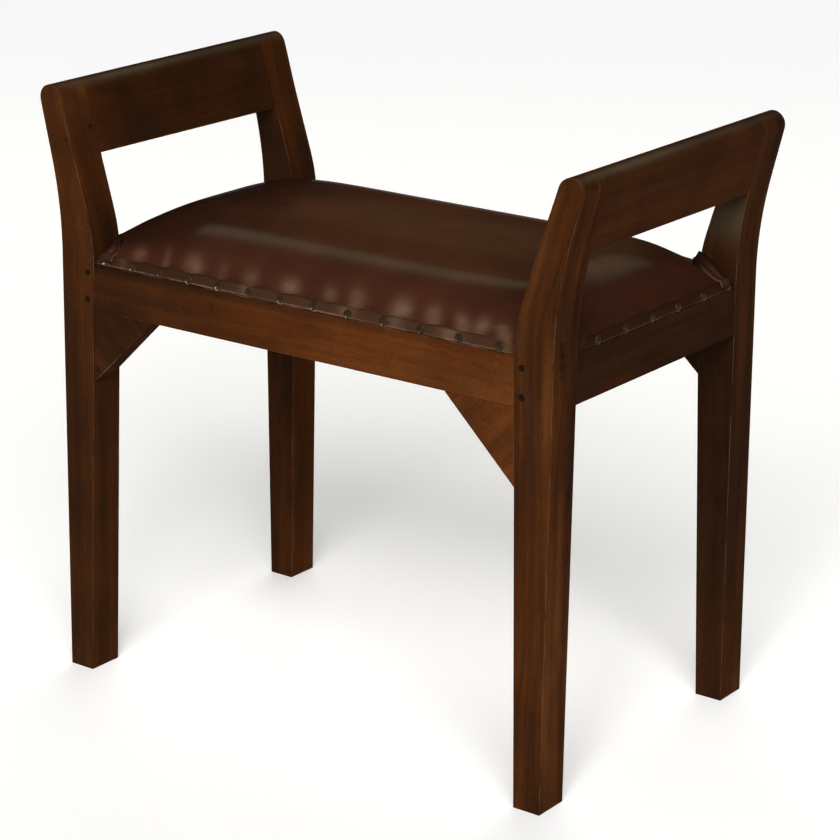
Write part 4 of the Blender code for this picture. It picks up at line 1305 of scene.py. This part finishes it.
def oxblood_leather():
    """Oiled oxblood hide: pebbled grain, soft mottling, rubbed folds and a raw cut edge, with painted highlights,
    painted shade and a painted shadow in the crease.
    """
    hide = Finish("oxblood_leather")
    place = hide.place()
    mottle = hide.noise(place, scale=26, detail=5, roughness=0.6)
    cloud = hide.noise(place, scale=7, detail=2)
    broken = hide.noise(place, scale=70)
    hide.colour = (*LEATHER["front"], 1)
    # Painted shade on the upper slopes, then the top where it is sat on, partly wear and partly a painted warm
    # reflection
    hide.layer(hide.remap(hide.painted("crown"), 0.30, 0.75, 0, 1), LEATHER["shaded"])
    hide.layer(hide.painted("sat_and_lit"), LEATHER["sat on and lit"])
    shade = hide.plus(hide.swing(mottle, 0.10), hide.swing(cloud, 0.12))
    hide.layer(hide.remap(shade, -0.2, 0.0, 0.30, 0.0), (0.012, 0.005, 0.003))
    hide.layer(hide.remap(shade, 0.0, 0.2, 0.0, 0.30), (0.110, 0.032, 0.017))
    hide.layer(hide.times(hide.painted("hem"), 0.75), (0.044, 0.0235, 0.0132))
    # Painted shade at the left and right of the pad, on the hem and over the folds
    hide.layer(hide.painted("ends"), LEATHER["ends"])
    # Painted highlights, rubbed edges with painted highlights on the folds, the light cut edge and the painted shadow
    # in the crease
    for name, variation, tint in (
        ("painted_sheen", (broken, 0.35, 0.65, 0.62, 1.0), (0.165, 0.094, 0.056)),
        ("rub_and_highlight", (mottle, 0.35, 0.65, 0.55, 1.0), (0.130, 0.058, 0.036)),
        ("trim", (mottle, 0.40, 0.62, 0.15, 1.0), (0.195, 0.108, 0.074)),
        ("crease_shadow", (broken, 0.38, 0.62, 0.25, 0.90), (0.011, 0.0050, 0.0034)),
    ):
        hide.layer(hide.times(hide.painted(name), hide.remap(*variation)), tint)
    pebble = hide.remap(hide.cells(place, 950), 0.0, 0.7, 0.5, 0.0)
    crackle = hide.remap(hide.cells(place, 330, "DISTANCE_TO_EDGE"), 0.0, 0.12, -0.4, 0.0)
    fine = hide.remap(hide.noise(place, scale=1400, detail=2), 0.3, 0.7, 0.0, 0.2)
    relief = hide.plus(hide.plus(pebble, crackle), fine)
    gloss = hide.painted("gloss")
    return hide.done(relief, 0.05, 0.00025, roughness=0.5, specular=0.0, coat=gloss, coat_roughness=0.14)


def antique_brass():
    """Brass gone dark in the middle of each head and rubbed bright at its rim, with a painted glint at its lower left.
    """
    brass = Finish("antique_brass")
    stain = brass.noise(brass.place(), scale=420, detail=4, roughness=0.6)
    rim = brass.remap(brass.painted("rim"), 0, 1, 0.30, 0.90)
    bright = brass.plus(brass.remap(stain, 0.35, 0.65, -0.25, 0.25), rim)
    # The brightest stop is the painted glint
    brass.ramp(bright, (
        (0.10, (0.022, 0.0136, 0.0072)),
        (0.50, (0.042, 0.0265, 0.0138)),
        (0.72, (0.110, 0.0780, 0.0400)),
        (0.98, (0.650, 0.5300, 0.3000)),
    ))
    roughness = brass.remap(bright, 0.1, 0.9, 0.52, 0.34)
    return brass.done(stain, 0.3, 0.0003, roughness=roughness, metallic=0.30, specular=0.03)


def seat_plywood():
    """Plain birch-faced plywood, seen only from below."""
    wood = Finish("seat_plywood")
    place = wood.place()
    waver = wood.noise(place, scale=7, detail=2)
    lines = wood.noise(wood.stretch(place, (6, 260, 260)))
    shade = wood.plus(wood.remap(waver, 0.3, 0.7, 0.1, 0.5), wood.remap(lines, 0.3, 0.7, 0.0, 0.5))
    wood.ramp(shade, ((0.15, (0.26, 0.155, 0.075)), (0.85, (0.43, 0.285, 0.155))))
    return wood.done(lines, 0.3, 0.0003, roughness=0.7)


# Camera, stage and light

def set_camera():
    camera = new_object("camera", bpy.data.cameras.new("camera"))
    camera.data.sensor_width = CAMERA_SENSOR
    camera.data.lens = CAMERA_LENS
    turn = Matrix.Rotation(CAMERA_TURN, 4, "Z")
    tilt = Matrix.Rotation(math.pi / 2 - CAMERA_DIP, 4, "X")
    roll = Matrix.Rotation(CAMERA_ROLL, 4, "Z")
    camera.matrix_world = Matrix.Translation(CAMERA_PLACE) @ turn @ tilt @ roll
    bpy.context.scene.camera = camera


def set_stage():
    """A pale floor that looks lit to the camera and in reflections, but lights nothing else."""
    bpy.ops.mesh.primitive_plane_add(size=16, location=(0, 2, 0))
    floor = new_piece("floor")
    pale = Finish("pale_floor")
    camera, glossy, through = (
        pale.add("ShaderNodeLightPath", {}, f"Is {ray} Ray") for ray in ("Camera", "Glossy", "Transmission")
    )
    seen = pale.plus(camera, pale.plus(glossy, through))
    pale.fill(pale.shader, {
        "Emission Strength": pale.remap(seen, 0, 1, 0, FLOOR_GLOW),
        "Emission Color": (1, 1, 1, 1),
        "Base Color": (0.90, 0.90, 0.90, 1),
        "Roughness": 0.9,
        "Specular IOR Level": 0.0,
    })
    floor.data.materials.append(pale.material)


def towards(azimuth, elevation):
    """Direction from a lamp at that azimuth and elevation to the bench. Azimuth 0 is in front."""
    a = math.radians(azimuth)
    e = math.radians(elevation)
    return -Vector((math.sin(a) * math.cos(e), -math.cos(a) * math.cos(e), math.sin(e)))


def add_lamp(name, kind, azimuth, elevation, roll=0):
    lamp = new_object(name, bpy.data.lights.new(name, kind))
    turn = Matrix.Rotation(math.radians(roll), 3, "Z")
    lamp.rotation_euler = (towards(azimuth, elevation).to_track_quat("-Z", "Y").to_matrix() @ turn).to_euler()
    return lamp


def set_lights():
    """Two broad suns, kept out of the reflections, and panels for the shine on leather and arms."""
    for name, azimuth, elevation, strength, softness in SUNS:
        sun = add_lamp(name, "SUN", azimuth, elevation)
        sun.data.energy = strength
        sun.data.angle = math.radians(softness)
        sun.visible_glossy = False
    for name, azimuth, elevation, roll, width, height, distance, power, tint in PANELS:
        panel = add_lamp(name, "AREA", azimuth, elevation, roll)
        panel.data.shape = "RECTANGLE"
        panel.data.size = width
        panel.data.size_y = height
        panel.data.energy = power
        panel.data.color = tint
        panel.location = LIT_PLACE - distance * towards(azimuth, elevation)
    world = bpy.data.worlds.new("studio")
    world.use_nodes = True
    world.node_tree.nodes["Background"].inputs["Color"].default_value = (1, 1, 1, 1)
    world.node_tree.nodes["Background"].inputs["Strength"].default_value = WORLD_GLOW
    bpy.context.scene.world = world
    bpy.context.scene.view_settings.view_transform = "Standard"


set_camera()
FINISHES = {
    "frame_wood": stained_wood("dark_stained_wood", FRAME_STAIN, DARK_MARKS, LEG_BANDS),
    "rail_wood": stained_wood("red_stained_wood", RAIL_STAIN, RAIL_MARKS),
    "peg_wood": dark_peg_wood(),
    "cover_leather": oxblood_leather(),
    "tack_brass": antique_brass(),
    "seat_plywood": seat_plywood(),
}

for end_label, side_label in CORNERS:
    make_leg(end_label, side_label)
    make_bracket(end_label, side_label)
for label in ENDS:
    make_seat_rail(label)
for label in SIDES:
    make_seat_rail(label)
    make_arm_rail(label)
make_pegs()
make_cover()
make_board()
make_tacks()
set_stage()
set_lights()
